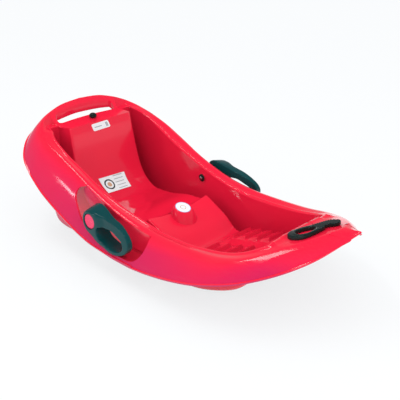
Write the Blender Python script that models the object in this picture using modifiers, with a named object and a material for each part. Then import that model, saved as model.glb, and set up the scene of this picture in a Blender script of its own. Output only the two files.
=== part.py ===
# Plastic sled: a child's bucket sled with a backrest and two hand brakes.
# One injection-moulded tub carries everything else. Each brake lever turns on a red
# plastic axle screwed on from inside the tub, and carries a steel claw that digs into
# the snow. A rope holder is screwed to the nose and a rope stud to the backrest.
# Frame: +X to the nose, +Y to the rider's left, +Z up, metres, standing on z = 0.

import bpy
import bmesh
import numpy as np
from math import cos, pi, radians, sin
from mathutils import Matrix, Vector

# Moulded tub
WALL = 0.004                 # wall of the moulding
CLEARANCE = 0.0003           # gap kept between pieces that touch
RIM_HALF_WIDTH = 0.150       # inner edge of the rim, at the sides
RIM_WIDTH = 0.026            # from the rim's inner edge out to its crest
SKIRT_REACH = 0.062          # from the crest out to the hem of the skirt
PAN_HALF_WIDTH = 0.100       # seat and backrest, between the runner channels
PAN_EDGE = 0.006             # rounding between the pan and a channel
SPINE_HALF_WIDTH = 0.022     # smooth strip down the middle of the foot ribs
CHANNEL_DRAFT = 0.016        # how far the tub's side leans out on its way up
SKIRT_POWER = 1.7            # 1 is a straight skirt, 2 a parabola
BEAD_HEIGHT = 0.0032         # bead along the rim's inner edge
BEAD_WIDTH = 0.016
LIP = 0.004                  # flange along the hem
PLATFORM_DIP = 0.007         # hollow across the block between the rider's legs
PLATFORM_REAR = -0.066       # foot of the block's rear face
PLATFORM_FRONT = 0.062       # deepest line of the footwell
RIB_FIRST = 0.111            # crest of the first foot rib
RIB_PITCH = 0.037
RIB_COUNT = 4
RIB_HEIGHT = 0.009
RIB_RISER = 0.003            # run of a rib's steep face

# Pommel, a hollow stub on the block
POMMEL_TOP = (-0.042, 0.110)          # x, z of the middle of its top
POMMEL_LEAN = radians(18)
POMMEL_TOP_RADIUS = 0.026
POMMEL_FOOT_RADIUS = 0.037
POMMEL_HEIGHT = 0.027

# Handle slot behind the backrest
SLOT_HALF_LENGTH = 0.097
SLOT_HALF_WIDTH = 0.0115
SLOT_X = -0.4390
SLOT_BOW = 0.9               # x grows by this times y squared
FLANGE_DEPTH = 0.017
FLANGE_WALL = 0.003

# Brake recess in the skirt
RECESS_WALL = 0.185          # outer face of the recess's back wall, from the middle
RECESS_REAR = -0.226
RECESS_ARC = (-0.008, 0.156) # middle of the round front end, x and z
RECESS_RADIUS = 0.083
RECESS_BAND = 0.0060         # strip of skirt left below the recess
RECESS_OPENING = 0.2325      # how far out the recess is open below
PIVOT = (-0.1205, 0.125)     # brake axis, x and z
PIVOT_PAD = 0.1475           # inner face of the pivot boss, from the middle
BOSS_RADIUS = 0.012

# Brake lever
HUB_FACE = 0.2400            # outer face of the hub, from the middle
GRIP_FACE = 0.2220           # outer face of the grip's tip, from the middle
LEVER_REACH = 0.145          # from the axis to the tip
LEVER_INNER = 0.1900         # inner face
LEVER_EDGE = 0.0035          # rounding of its edges
AXLE_HEAD_RADIUS = 0.019
AXLE_HEAD = 0.0042
AXLE_SET = 0.0005            # how far the head lies below the hub's face
AXLE_RADIUS = 0.010
SCREW_RADIUS = 0.0025
SCREW_HEAD_RADIUS = 0.0045
SCREW_HEAD = 0.0030
ROSETTE_RADIUS = 0.0080
ROSETTE_THICKNESS = 0.0030
PIVOT_SCREW_LENGTH = 0.066

# Steel claw behind the lever
CLAW_THICKNESS = 0.003
CLAW_REACH = 0.127           # from the axis to the teeth
CLAW_REST = radians(220)     # direction of the arm with the brake off
CLAW_RADIUS = 0.0195         # eye round the axle
CLAW_ARM = 0.011             # half width of the arm
CLAW_SCREW_CIRCLE = 0.0150
CLAW_SCREW_RADIUS = 0.0018
CLAW_SCREW_HEAD = 0.0034
CLAW_SCREW_SINK = 0.0018     # depth of its countersunk head
CLAW_SCREW_LENGTH = 0.014

# Rope holder on the nose
HOLDER_CENTRE = (0.374, -0.008)
HOLDER_TURN = radians(-27)   # its length against the sled's width, seen from above
HOLDER_TOP = 0.2008          # z of its top at the middle
HOLDER_RISE = (0.235, 0.128) # its slope along a and b, close to the deck's
HOLDER_EDGE = 0.002
HOLDER_GAP = 0.00075         # above the deck's faceted top
HOLDER_SCREW_Y = (-0.0595, 0.030)
HOLDER_SCREW_RADIUS = 0.002
HOLDER_SCREW_LENGTH = 0.014
HOLDER_BOSS = 0.008          # length of the screw bosses under the deck

# Rope stud on the backrest
STUD_X = -0.4000
STUD_PAD = 0.2670            # z of its seat
STUD_RADIUS = 0.0105
STUD_NECK = 0.0065
STUD_HEIGHT = 0.0135
STUD_BOSS = 0.016            # depth of the boss that it is screwed to
STUD_SCREW_LENGTH = 0.022
WASHER_THICKNESS = 0.001

# Side view of the tub, one row for each cross-section, metres:
# pan x, z; bottom of the runner channel x, z; rim's inner edge x, z;
# then the half widths of the rim and of the pan as shares of their full values
STATIONS = [
    (-0.3650, 0.2680, -0.4090, 0.2660, -0.3900, 0.2620, 0.933, 0.98),
    (-0.3610, 0.2480, -0.4115, 0.2200, -0.3800, 0.2580, 0.973, 0.99),
    (-0.3530, 0.2050, -0.4130, 0.1470, -0.3470, 0.2440, 1.030, 1.01),
    (-0.3350, 0.1370, -0.4090, 0.0690, -0.3000, 0.2210, 1.037, 1.02),
    (-0.3100, 0.0950, -0.3875, 0.0180, -0.2410, 0.1950, 1.020, 1.01),
    (-0.2570, 0.0670, -0.3310, 0.0040, -0.1760, 0.1690, 1.020, 1.00),
    (-0.2030, 0.0710, -0.2160, 0.0040, -0.1190, 0.1500, 1.017, 1.00),
    (-0.1290, 0.0870, -0.1300, 0.0040, -0.0720, 0.1380, 1.000, 1.00),
    (-0.0660, 0.0940, -0.0690, 0.0040, -0.0300, 0.1310, 0.983, 1.00),
    (-0.0600, 0.1060, -0.0625, 0.0040, -0.0250, 0.1300, 0.980, 1.00),
    (0.0120, 0.0750, 0.0070, 0.0040, 0.0200, 0.1235, 0.977, 0.96),
    (0.0620, 0.0480, 0.0640, 0.0040, 0.0660, 0.1205, 0.980, 0.91),
    (0.1120, 0.0690, 0.1270, 0.0080, 0.1210, 0.1225, 0.980, 0.86),
    (0.2030, 0.0950, 0.2060, 0.0280, 0.2010, 0.1320, 0.947, 0.76),
    (0.2665, 0.1200, 0.2690, 0.0620, 0.2620, 0.1460, 0.900, 0.70),
    (0.3010, 0.1480, 0.3020, 0.1180, 0.2990, 0.1620, 0.810, 0.66),
    (0.3260, 0.1840, 0.3250, 0.1800, 0.3250, 0.1770, 0.690, 0.58),
]
LAST = len(STATIONS) - 1

# Plan and height of the rim, from the middle of the handle bar (0) round to the nose
# (22); 3 to 19 lie beside the cross-sections. Crest x, y, z and hem x, y, z, with each
# y as a share of its full half width
GUIDES = [
    (0, -0.4590, 0.000, 0.3110, -0.4810, 0.000, 0.2660),
    (1, -0.4560, 0.307, 0.3080, -0.4780, 0.277, 0.2640),
    (2, -0.4470, 0.580, 0.2970, -0.4710, 0.546, 0.2570),
    (3, -0.4290, 0.813, 0.2800, -0.4540, 0.752, 0.2380),
    (4, -0.3980, 0.943, 0.2630, -0.4160, 0.916, 0.2000),
    (5, -0.3550, 1.000, 0.2470, -0.3620, 0.979, 0.1690),
    (6, -0.3030, 1.011, 0.2300, -0.3030, 1.000, 0.1360),
    (7, -0.2430, 1.006, 0.2060, -0.2420, 1.000, 0.1070),
    (8, -0.1760, 1.000, 0.1770, -0.1760, 1.000, 0.0820),
    (9, -0.1190, 0.994, 0.1570, -0.1190, 1.000, 0.0680),
    (10, -0.0720, 0.989, 0.1440, -0.0720, 1.000, 0.0640),
    (11, -0.0300, 0.983, 0.1360, -0.0300, 1.000, 0.0610),
    (13, 0.0200, 0.977, 0.1310, 0.0200, 1.000, 0.0610),
    (14, 0.0660, 0.977, 0.1290, 0.0660, 1.000, 0.0650),
    (15, 0.1200, 0.977, 0.1300, 0.1220, 0.996, 0.0730),
    (16, 0.2010, 0.966, 0.1350, 0.2030, 0.975, 0.0890),
    (17, 0.2630, 0.937, 0.1460, 0.2710, 0.912, 0.1070),
    (18, 0.3130, 0.830, 0.1610, 0.3290, 0.786, 0.1240),
    (19, 0.3560, 0.642, 0.1800, 0.3850, 0.563, 0.1440),
    (20, 0.3970, 0.420, 0.1980, 0.4330, 0.335, 0.1700),
    (21, 0.4300, 0.190, 0.2120, 0.4660, 0.100, 0.2000),
    (22, 0.4440, 0.000, 0.2180, 0.4810, 0.000, 0.2170),
]
ROWS = [0, 0.35, 0.8, 1.4, 2, 2.6, 3.2, 3.7, 4.2, 4.7, 5.3, 6, 6.6, 7.3, 8, 9, 9.5, 10, 10.5, 11]
FRONT_ROWS = [13.4, 14, 14.5, 15, 15.5, 16]
BEAD_RINGS = ((0.25, 0.8), (0.55, 1.0), (1.0, 0.05))   # share of the width, share of the height
RIM_RINGS = (0.55, 0.75, 0.88)
SKIRT_RINGS = (0.25, 0.5, 0.75, 1.0)

CREST_HALF_WIDTH = RIM_HALF_WIDTH + RIM_WIDTH
HEM_HALF_WIDTH = CREST_HALF_WIDTH + SKIRT_REACH

RED = (0.80, 0.015, 0.045, 1.0)
ANTHRACITE = (0.012, 0.055, 0.055, 1.0)
BLACK = (0.010, 0.012, 0.012, 1.0)
STEEL = (0.55, 0.56, 0.58, 1.0)


# Scene, collections and materials

for leftover in list(bpy.data.objects):
    bpy.data.objects.remove(leftover, do_unlink=True)

PARTS = bpy.data.collections.new("plastic_sled")
CUTTERS = bpy.data.collections.new("cutters")
bpy.context.scene.collection.children.link(PARTS)
bpy.context.scene.collection.children.link(CUTTERS)


def make_material(name, colour, roughness, metallic=0.0):
    material = bpy.data.materials.new(name)
    material.use_nodes = True
    shader = material.node_tree.nodes["Principled BSDF"]
    shader.inputs["Base Color"].default_value = colour
    shader.inputs["Roughness"].default_value = roughness
    shader.inputs["Metallic"].default_value = metallic
    return material


TUB_PLASTIC = make_material("red_tub_plastic", RED, 0.18)
AXLE_PLASTIC = make_material("red_axle_plastic", RED, 0.28)
LEVER_PLASTIC = make_material("anthracite_lever_plastic", ANTHRACITE, 0.32)
BLACK_PLASTIC = make_material("black_plastic", BLACK, 0.35)
STEEL_FINISH = make_material("zinc_plated_steel", STEEL, 0.30, 1.0)


def add_object(name, mesh, material=None, collection=PARTS):
    thing = bpy.data.objects.new(name, mesh)
    collection.objects.link(thing)
    if material:
        mesh.materials.append(material)
    return thing


def as_cutter(thing):
    """Keeps a guide solid out of the finished model."""
    thing.hide_render = True
    thing.display_type = "WIRE"
    return thing


def mesh_from(bm, name):
    bmesh.ops.recalc_face_normals(bm, faces=bm.faces)
    mesh = bpy.data.meshes.new(name)
    bm.to_mesh(mesh)
    bm.free()
    return mesh


def smooth(thing, angle=radians(35)):
    thing.data.shade_smooth()
    thing.data.set_sharp_from_angle(angle=angle)


def boolean(target, tool, operation):
    modifier = target.modifiers.new(operation.lower() + "_" + tool.name, "BOOLEAN")
    modifier.operation = operation
    modifier.object = tool
    modifier.solver = "EXACT"


def mirror_across(thing):
    """Adds the same shape on the sled's other side."""
    modifier = thing.modifiers.new("other_side", "MIRROR")
    modifier.use_axis = (False, True, False)
    modifier.merge_threshold = 0.0001


# Curves and surfaces of the tub

def glide(knots, rows, t):
    """Smooth curve through the rows that never overshoots; row k lies at knots[k]."""
    x = np.array(knots, float)
    y = np.array(rows, float)
    step = np.diff(x)
    slope = np.diff(y, axis=0) / step[:, None]
    tangent = np.zeros_like(y)
    for k in range(1, len(x) - 1):
        w1 = 2 * step[k] + step[k - 1]
        w2 = step[k] + 2 * step[k - 1]
        same = slope[k - 1] * slope[k] > 0
        before = np.where(same, slope[k - 1], 1)
        after = np.where(same, slope[k], 1)
        tangent[k] = np.where(same, (w1 + w2) / (w1 / before + w2 / after), 0)
    tangent[0] = slope[0]
    tangent[-1] = slope[-1]
    t = np.clip(np.asarray(t, float), x[0], x[-1])
    k = np.clip(np.searchsorted(x, t, side="right") - 1, 0, len(x) - 2)
    u = ((t - x[k]) / step[k])[:, None]
    h = step[k][:, None]
    return ((2 * u**3 - 3 * u**2 + 1) * y[k] + (u**3 - 2 * u**2 + u) * h * tangent[k]
            + (3 * u**2 - 2 * u**3) * y[k + 1] + (u**3 - u**2) * h * tangent[k + 1])


def ease(u):
    u = np.clip(u, 0, 1)
    return u * u * (3 - 2 * u)


def station(t):
    return glide(range(LAST + 1), STATIONS, np.atleast_1d(t))


def row_at(pan_x):
    """Place along the stations where the pan reaches pan_x."""
    t = np.linspace(0, LAST, 1601)
    return float(np.interp(pan_x, station(t)[:, 0], t))


def rib_crest(k):
    return RIB_FIRST + k * RIB_PITCH


def rib_rise(x):
    """Height of the foot ribs' saw-tooth over the floor."""
    rise = 0.0
    for k in range(RIB_COUNT):
        start = rib_crest(k) - RIB_PITCH + RIB_RISER
        crest = rib_crest(k)
        if start < x <= crest:
            rise = (x - start) / (crest - start)
        elif crest < x < crest + RIB_RISER:
            rise = 1 - (x - crest) / RIB_RISER
    return RIB_HEIGHT * rise


def platform_hollow(x, share):
    """Depth of the hollow across the block, deepest in the middle of its rear edge."""
    if x < PLATFORM_REAR or x > PLATFORM_FRONT:
        return 0.0
    along = ease((x - PLATFORM_REAR) / 0.006) * ease((PLATFORM_FRONT - x) / 0.10)
    return PLATFORM_DIP * float(along) * (1 - share * share)


def tub_rows():
    rows = list(ROWS)
    for k in range(RIB_COUNT):
        rows += [row_at(rib_crest(k)), row_at(rib_crest(k) + RIB_RISER)]
    return np.array(sorted(rows + FRONT_ROWS))


def pan_columns(half_width):
    step = 0.006
    return [0.0, SPINE_HALF_WIDTH, SPINE_HALF_WIDTH + step, 0.62 * half_width, half_width]


PAN_COLUMNS = len(pan_columns(PAN_HALF_WIDTH))


def inner_grid(rows):
    """Inside of the tub's left half: one row for each cross-section, from y = 0 outwards."""
    grid = []
    for (xc, zc, xg, zg, xr, zr, rim_share, pan_share) in station(rows):
        pan = np.array([xc, zc])
        rim = np.array([xr, zr])
        down = np.array([xg, zg]) - pan
        depth = np.linalg.norm(down)
        down = down / depth
        half = PAN_HALF_WIDTH * pan_share
        outer = RIM_HALF_WIDTH * rim_share
        foot = outer - CHANNEL_DRAFT
        r = min(PAN_EDGE, depth / 3)

        def below(y, d):
            p = pan + down * d
            return (p[0], y, p[1])

        line = []
        for y in pan_columns(half):
            ribbed = 0.0 if y < SPINE_HALF_WIDTH + 0.001 else rib_rise(xc)
            line.append((xc, y, zc + ribbed - platform_hollow(xc, y / half)))
        line.append(below(half + 0.6 * PAN_EDGE, 0.3 * r))
        line.append(below(half + PAN_EDGE, r))
        line.append(below(half + PAN_EDGE + 0.004, depth - r))
        line.append(below(half + PAN_EDGE + 0.010, depth))
        line.append(below(foot - 0.008, depth))
        line.append(below(foot, depth - r))
        start = pan + down * (depth - r)
        for v in (0.5, 1.0):
            q = start + (rim - start) * v
            line.append((q[0], foot + (outer - foot) * v, q[1]))
        grid.append(line)
    return np.array(grid)


def end_places(line):
    """Places of an end row's points: 0 in the middle, 2 at the pan's edge, 3 at the rim."""
    y = line[:, 1]
    pan, rim = y[PAN_COLUMNS - 1], y[-1]
    return list(np.where(y <= pan, 2 * y / pan, 2 + (y - pan) / (rim - pan)))


def border_of(grid, rows):
    """The grid's outer border and its place along the rim, 0 at the bar to 22 at the nose."""
    points = list(grid[0]) + list(grid[1:, -1]) + list(grid[-1, -2::-1])
    nose = [22 - place for place in end_places(grid[-1])]
    place = end_places(grid[0]) + list(3 + rows[1:]) + nose[-2::-1]
    return np.array(points), np.array(place)


def rim_rings(points, place):
    """Rings from the rim's inner edge over the bead and the crest down to the hem's lip."""
    guide = glide([g[0] for g in GUIDES], [g[1:] for g in GUIDES], place)
    crest = guide[:, :3] * np.array([1, CREST_HALF_WIDTH, 1])
    hem = guide[:, 3:] * np.array([1, HEM_HALF_WIDTH, 1])
    out = crest - points
    width = np.linalg.norm(out[:, :2], axis=1)
    steep = ease((4.2 - place) / 2.0)
    bead = BEAD_HEIGHT * ease((place - 2.4) / 1.4)

    def between(share):
        front = np.clip((share - 0.7) / 0.3, 0, 1) ** 1.4 - 0.1 * share * (1 - share)
        lifted = share * (1 - steep) + front * steep
        p = points.copy()
        p[:, :2] += out[:, :2] * share[:, None]
        p[:, 2] += out[:, 2] * lifted
        return p

    rings = [points]
    for k, (reach, lift) in enumerate(BEAD_RINGS):
        ring = between(np.minimum(reach * BEAD_WIDTH / width, 0.16 * (k + 1)))
        ring[:, 2] += lift * bead
        rings.append(ring)
    for share in RIM_RINGS:
        rings.append(between(np.full(len(points), share)))
    rings.append(crest)
    for v in SKIRT_RINGS:
        ring = crest.copy()
        ring[:, :2] += (hem - crest)[:, :2] * v
        ring[:, 2] += (hem - crest)[:, 2] * v ** SKIRT_POWER
        rings.append(ring)
    away = (hem - crest)[:, :2]
    away = away / np.linalg.norm(away, axis=1)[:, None]
    lip = hem.copy()
    lip[:, :2] += away * LIP
    lip[:, 2] -= 0.3 * LIP
    rings.append(lip)
    return np.array(rings)


CREST_RING = len(BEAD_RINGS) + len(RIM_RINGS) + 1
HEM_RING = CREST_RING + len(SKIRT_RINGS)
TUB_ROWS = tub_rows()
GRID = inner_grid(TUB_ROWS)
BORDER, BORDER_PLACE = border_of(GRID, TUB_ROWS)
RINGS = rim_rings(BORDER, BORDER_PLACE)


def hem_height(x):
    side = (BORDER_PLACE > 5) & (BORDER_PLACE < 17)
    hem = RINGS[HEM_RING][side]
    return float(np.interp(x, hem[:, 0], hem[:, 2]))


def tub_half():
    """The sheet's left half, open at y = 0 and along the lip."""
    bm = bmesh.new()
    rows, columns = GRID.shape[:2]
    inside = [[bm.verts.new(p) for p in line] for line in GRID]
    edge = inside[0] + [line[-1] for line in inside[1:]] + inside[-1][-2::-1]
    around = [edge]
    for ring in RINGS[1:]:
        around.append([bm.verts.new(p) for p in ring])
    for i in range(rows - 1):
        for j in range(columns - 1):
            bm.faces.new((inside[i][j], inside[i + 1][j], inside[i + 1][j + 1], inside[i][j + 1]))
    for inner, outer in zip(around, around[1:]):
        for b in range(len(edge) - 1):
            bm.faces.new((inner[b], inner[b + 1], outer[b + 1], outer[b]))
    for vertex in bm.verts:
        if abs(vertex.co.y) < 1e-6:
            vertex.co.y = 0.0
    mesh = bpy.data.meshes.new("tub_half")
    bm.to_mesh(mesh)
    bm.free()
    return mesh


def core_patch(name, first, last, ring_range, drop, both_sides):
    """Closed solid under a stretch of the rim, starting inside the moulding's wall."""
    pick = np.where((BORDER_PLACE >= first) & (BORDER_PLACE <= last))[0]
    patch = RINGS[ring_range[0]:ring_range[1] + 1][:, pick]
    along = np.gradient(patch, axis=1)
    across = np.gradient(patch, axis=0)
    normal = np.cross(along, across)
    normal = normal / np.linalg.norm(normal, axis=2)[:, :, None]
    normal = normal * np.sign(normal[:, :, 2:3])
    patch = patch - normal * WALL / 2
    if both_sides:
        patch[:, 0, 1] = 0.0
        other = patch[:, :0:-1] * np.array([1, -1, 1])
        patch = np.concatenate([other, patch], axis=1)
    bm = bmesh.new()
    grid = [[bm.verts.new(p) for p in line] for line in patch]
    for upper, lower in zip(grid, grid[1:]):
        for b in range(len(upper) - 1):
            bm.faces.new((upper[b], upper[b + 1], lower[b + 1], lower[b]))
    grown = bmesh.ops.extrude_face_region(bm, geom=list(bm.faces))
    moved = [v for v in grown["geom"] if isinstance(v, bmesh.types.BMVert)]
    bmesh.ops.translate(bm, verts=moved, vec=Vector(drop))
    return as_cutter(add_object(name, mesh_from(bm, name), collection=CUTTERS))


def prism(name, outline, low, high, axis):
    """Closed prism over an outline; axis Z takes (x, y) points and axis Y takes (x, z) points."""
    bm = bmesh.new()
    if axis == "Z":
        verts = [bm.verts.new((a, b, low)) for a, b in outline]
        lift = Vector((0, 0, high - low))
    else:
        verts = [bm.verts.new((a, low, b)) for a, b in outline]
        lift = Vector((0, high - low, 0))
    face = bm.faces.new(verts)
    grown = bmesh.ops.extrude_face_region(bm, geom=[face])
    moved = [v for v in grown["geom"] if isinstance(v, bmesh.types.BMVert)]
    bmesh.ops.translate(bm, verts=moved, vec=lift)
    return as_cutter(add_object(name, mesh_from(bm, name), collection=CUTTERS))


def cylinder(name, start, end, radius, segments=24, end_radius=None, material=None):
    """Cylinder or cone between two points; a cutter unless it has a material."""
    start, end = Vector(start), Vector(end)
    axis = end - start
    bm = bmesh.new()
    turn = axis.to_track_quat("Z", "Y").to_matrix().to_4x4()
    bmesh.ops.create_cone(
        bm, cap_ends=True, segments=segments, radius1=radius,
        radius2=radius if end_radius is None else end_radius, depth=axis.length,
        matrix=Matrix.Translation((start + end) / 2) @ turn)
    mesh = mesh_from(bm, name)
    if material:
        return add_object(name, mesh, material)
    return as_cutter(add_object(name, mesh, collection=CUTTERS))


def slot_outline(grow):
    """Bowed slot with round ends."""
    half = SLOT_HALF_WIDTH + grow
    reach = SLOT_HALF_LENGTH - SLOT_HALF_WIDTH
    points = []
    for k in range(11):
        y = -reach + 2 * reach * k / 10
        points.append((SLOT_X + SLOT_BOW * y * y + half, y))
    middle = SLOT_X + SLOT_BOW * reach * reach
    for k in range(1, 6):
        a = pi * k / 6
        points.append((middle + half * cos(a), reach + half * sin(a)))
    for k in range(11):
        y = reach - 2 * reach * k / 10
        points.append((SLOT_X + SLOT_BOW * y * y - half, y))
    for k in range(1, 6):
        a = pi + pi * k / 6
        points.append((middle + half * cos(a), -reach + half * sin(a)))
    return points


def recess_outline(grow):
    """Side view of the brake recess: open at the top, round at the front."""
    cx, cz = RECESS_ARC
    radius = RECESS_RADIUS + grow
    top = 0.34
    points = [(RECESS_REAR - grow, top)]
    turn = cx + 0.01
    for k in range(8):
        x = RECESS_REAR - grow + (turn - RECESS_REAR + grow) * k / 7
        points.append((x, hem_height(x) + RECESS_BAND - grow))
    for k in range(1, 11):
        a = radians(-80 + 80 * k / 10)
        arc = (cx + radius * cos(a), cz + radius * sin(a))
        if arc[0] > turn + 0.004 and arc[1] > points[-1][1] - 0.002:
            points.append(arc)
    points.append((cx + radius, top))
    return points


def build_tub():
    tub = add_object("tub_shell", tub_half(), TUB_PLASTIC)
    mirror_across(tub)
    skin = tub.modifiers.new("wall", "SOLIDIFY")
    skin.thickness = WALL
    skin.offset = -1.0
    skin.use_even_offset = True
    skin.use_rim = True

    # Handle slot with a flange turned down all round
    under_bar = core_patch("under_bar", 0, 2.9, (0, CREST_RING + 1), (0, 0, -FLANGE_DEPTH), True)
    flange = prism("slot_flange", slot_outline(FLANGE_WALL), 0.20, 0.36, "Z")
    boolean(flange, under_bar, "INTERSECT")
    boolean(tub, flange, "UNION")
    boolean(tub, prism("handle_slot", slot_outline(0), 0.20, 0.36, "Z"), "DIFFERENCE")

    # Brake recesses, closed behind and at both ends, open above and below
    under_skirt = core_patch(
        "under_skirt", 6.2, 15.4, (CREST_RING - 1, HEM_RING), (0, -0.09, 0), False)
    liner = prism("recess_liner", recess_outline(WALL), RECESS_WALL - WALL, 0.30, "Y")
    boolean(liner, under_skirt, "INTERSECT")
    mirror_across(liner)
    boolean(tub, liner, "UNION")
    recess = prism("brake_recess", recess_outline(0), RECESS_WALL, 0.30, "Y")
    mirror_across(recess)
    boolean(tub, recess, "DIFFERENCE")
    cx = RECESS_ARC[0]
    below = [(RECESS_REAR, 0.02), (RECESS_REAR, 0.13)]
    below += [(cx, hem_height(cx) + RECESS_BAND), (cx, 0.02)]
    opening = prism("recess_opening", below, RECESS_WALL, RECESS_OPENING, "Y")
    mirror_across(opening)
    boolean(tub, opening, "DIFFERENCE")

    # Pivot bosses between the tub's wall and the recess's wall
    px, pz = PIVOT
    for side in (1, -1):
        boss = cylinder("pivot_boss", (px, side * PIVOT_PAD, pz),
                        (px, side * (RECESS_WALL - WALL / 2), pz), BOSS_RADIUS)
        boolean(tub, boss, "UNION")
    for side in (1, -1):
        bore = cylinder("pivot_bore", (px, side * (PIVOT_PAD - 0.02), pz),
                        (px, side * (RECESS_WALL + 0.01), pz), SCREW_RADIUS + CLEARANCE, 16)
        boolean(tub, bore, "DIFFERENCE")

    # Pommel: a hollow cone, square to the block
    lean = Vector((sin(POMMEL_LEAN), 0, cos(POMMEL_LEAN)))
    top = Vector((POMMEL_TOP[0], 0, POMMEL_TOP[1]))
    slant = (POMMEL_FOOT_RADIUS - POMMEL_TOP_RADIUS) / POMMEL_HEIGHT
    cone = cylinder("pommel", top - lean * POMMEL_HEIGHT, top, POMMEL_FOOT_RADIUS, 32,
                    POMMEL_TOP_RADIUS)
    hollow = cylinder("pommel_hollow", top - lean * (POMMEL_HEIGHT + 0.01),
                      top - lean * WALL, POMMEL_FOOT_RADIUS - WALL + 0.01 * slant, 32,
                      POMMEL_TOP_RADIUS - WALL + WALL * slant)
    boolean(tub, cone, "UNION")
    boolean(tub, hollow, "DIFFERENCE")

    # Seat of the rope stud
    stud_boss = cylinder("stud_boss", (STUD_X, 0, STUD_PAD - STUD_BOSS), (STUD_X, 0, STUD_PAD),
                         STUD_NECK, 20)
    stud_bore = cylinder("stud_bore", (STUD_X, 0, STUD_PAD - 0.03), (STUD_X, 0, STUD_PAD + 0.01),
                         HOLDER_SCREW_RADIUS + CLEARANCE, 12)
    boolean(tub, stud_boss, "UNION")
    boolean(tub, stud_bore, "DIFFERENCE")

    # Seats of the rope holder's screws, under the deck
    for y in HOLDER_SCREW_Y:
        x, y = holder_point(0, y)
        foot = holder_seat(x, y)
        seat = cylinder("holder_boss", (x, y, foot), (x, y, deck_height(x, y) - WALL / 2), 0.006, 16)
        bore = cylinder("holder_bore", (x, y, foot - 0.01), (x, y, foot + 0.04),
                        HOLDER_SCREW_RADIUS + CLEARANCE, 12)
        boolean(tub, seat, "UNION")
        boolean(tub, bore, "DIFFERENCE")
    smooth(tub)
    return tub


# Rope holder

def holder_point(a, b):
    """Place on the deck of a point of the holder, a to the nose and b along it."""
    x, y = HOLDER_CENTRE
    c, s = cos(HOLDER_TURN), sin(HOLDER_TURN)
    return (x + a * c - b * s, y + a * s + b * c)


def deck_rings():
    """Top of the nose deck as a grid of points, both sides."""
    pick = np.where(BORDER_PLACE >= 17.5)[0]
    patch = RINGS[0:HEM_RING][:, pick]
    other = patch[:, -2::-1] * np.array([1, -1, 1])
    return np.concatenate([patch, other], axis=1)


def deck_height(x, y):
    """Height of the nose deck over a point, from the nearest points of its grid."""
    points = deck_rings().reshape(-1, 3)
    distance = np.hypot(points[:, 0] - x, points[:, 1] - y)
    near = np.argsort(distance)[:12]
    flat = np.c_[points[near, :2], np.ones(len(near))]
    plane = np.linalg.lstsq(flat, points[near, 2], rcond=None)[0]
    return float(plane @ np.array([x, y, 1]))


def holder_seat(x, y):
    """Height of the lower face of the screw boss at a point."""
    return deck_height(x, y) - WALL - HOLDER_BOSS


def deck_block():
    """Solid under the deck's top, raised by the clearance, that cuts the holder's seat."""
    patch = deck_rings() + np.array([0, 0, HOLDER_GAP])
    bm = bmesh.new()
    grid = [[bm.verts.new(p) for p in line] for line in patch]
    for upper, lower in zip(grid, grid[1:]):
        for b in range(len(upper) - 1):
            bm.faces.new((upper[b], upper[b + 1], lower[b + 1], lower[b]))
    bmesh.ops.remove_doubles(bm, verts=bm.verts, dist=0.00001)
    grown = bmesh.ops.extrude_face_region(bm, geom=list(bm.faces))
    moved = [v for v in grown["geom"] if isinstance(v, bmesh.types.BMVert)]
    bmesh.ops.translate(bm, verts=moved, vec=Vector((0, 0, -0.08)))
    return as_cutter(add_object("deck_block", mesh_from(bm, "deck_block"), collection=CUTTERS))


def curve_solid(name, splines, half_thickness, edge, resolution):
    """Mesh of a flat outline with holes, given thickness and rounded edges."""
    curve = bpy.data.curves.new(name, "CURVE")
    curve.dimensions = "2D"
    curve.fill_mode = "BOTH"
    curve.extrude = half_thickness - edge
    curve.bevel_depth = edge
    curve.bevel_resolution = 1
    curve.offset = -edge
    curve.resolution_u = resolution
    for points in splines:
        spline = curve.splines.new("BEZIER")
        spline.bezier_points.add(len(points) - 1)
        for knot, (a, b) in zip(spline.bezier_points, points):
            knot.co = (a, b, 0)
            knot.handle_left_type = "AUTO"
            knot.handle_right_type = "AUTO"
        spline.use_cyclic_u = True
    guide = bpy.data.objects.new(name, curve)
    CUTTERS.objects.link(guide)
    bpy.context.view_layer.update()
    depsgraph = bpy.context.evaluated_depsgraph_get()
    mesh = bpy.data.meshes.new_from_object(guide.evaluated_get(depsgraph))
    bpy.data.objects.remove(guide, do_unlink=True)
    bm = bmesh.new()
    bm.from_mesh(mesh)
    bmesh.ops.remove_doubles(bm, verts=bm.verts, dist=0.00002)
    bmesh.ops.dissolve_degenerate(bm, edges=bm.edges, dist=0.00002)
    bm.to_mesh(mesh)
    bm.free()
    return mesh


# Outline of the rope holder, a to the nose and b to the sled's left: a wide eye at the
# near end, a waist with a round notch in front, and a thin tongue at the far end
HOLDER_OUTLINE = [
    (-0.006, -0.070), (-0.019, -0.060), (-0.021, -0.040), (-0.020, -0.015), (-0.018, 0.015),
    (-0.014, 0.040), (-0.011, 0.062), (-0.002, 0.070), (0.008, 0.064), (0.012, 0.045),
    (0.009, 0.030), (0.014, 0.016), (0.019, -0.002), (0.021, -0.030), (0.019, -0.055),
    (0.008, -0.069)]
HOLDER_EYE = [
    (-0.011, -0.042), (-0.012, -0.022), (-0.006, -0.008), (0.004, -0.008), (0.010, -0.022),
    (0.010, -0.042), (0.000, -0.050)]


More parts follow.
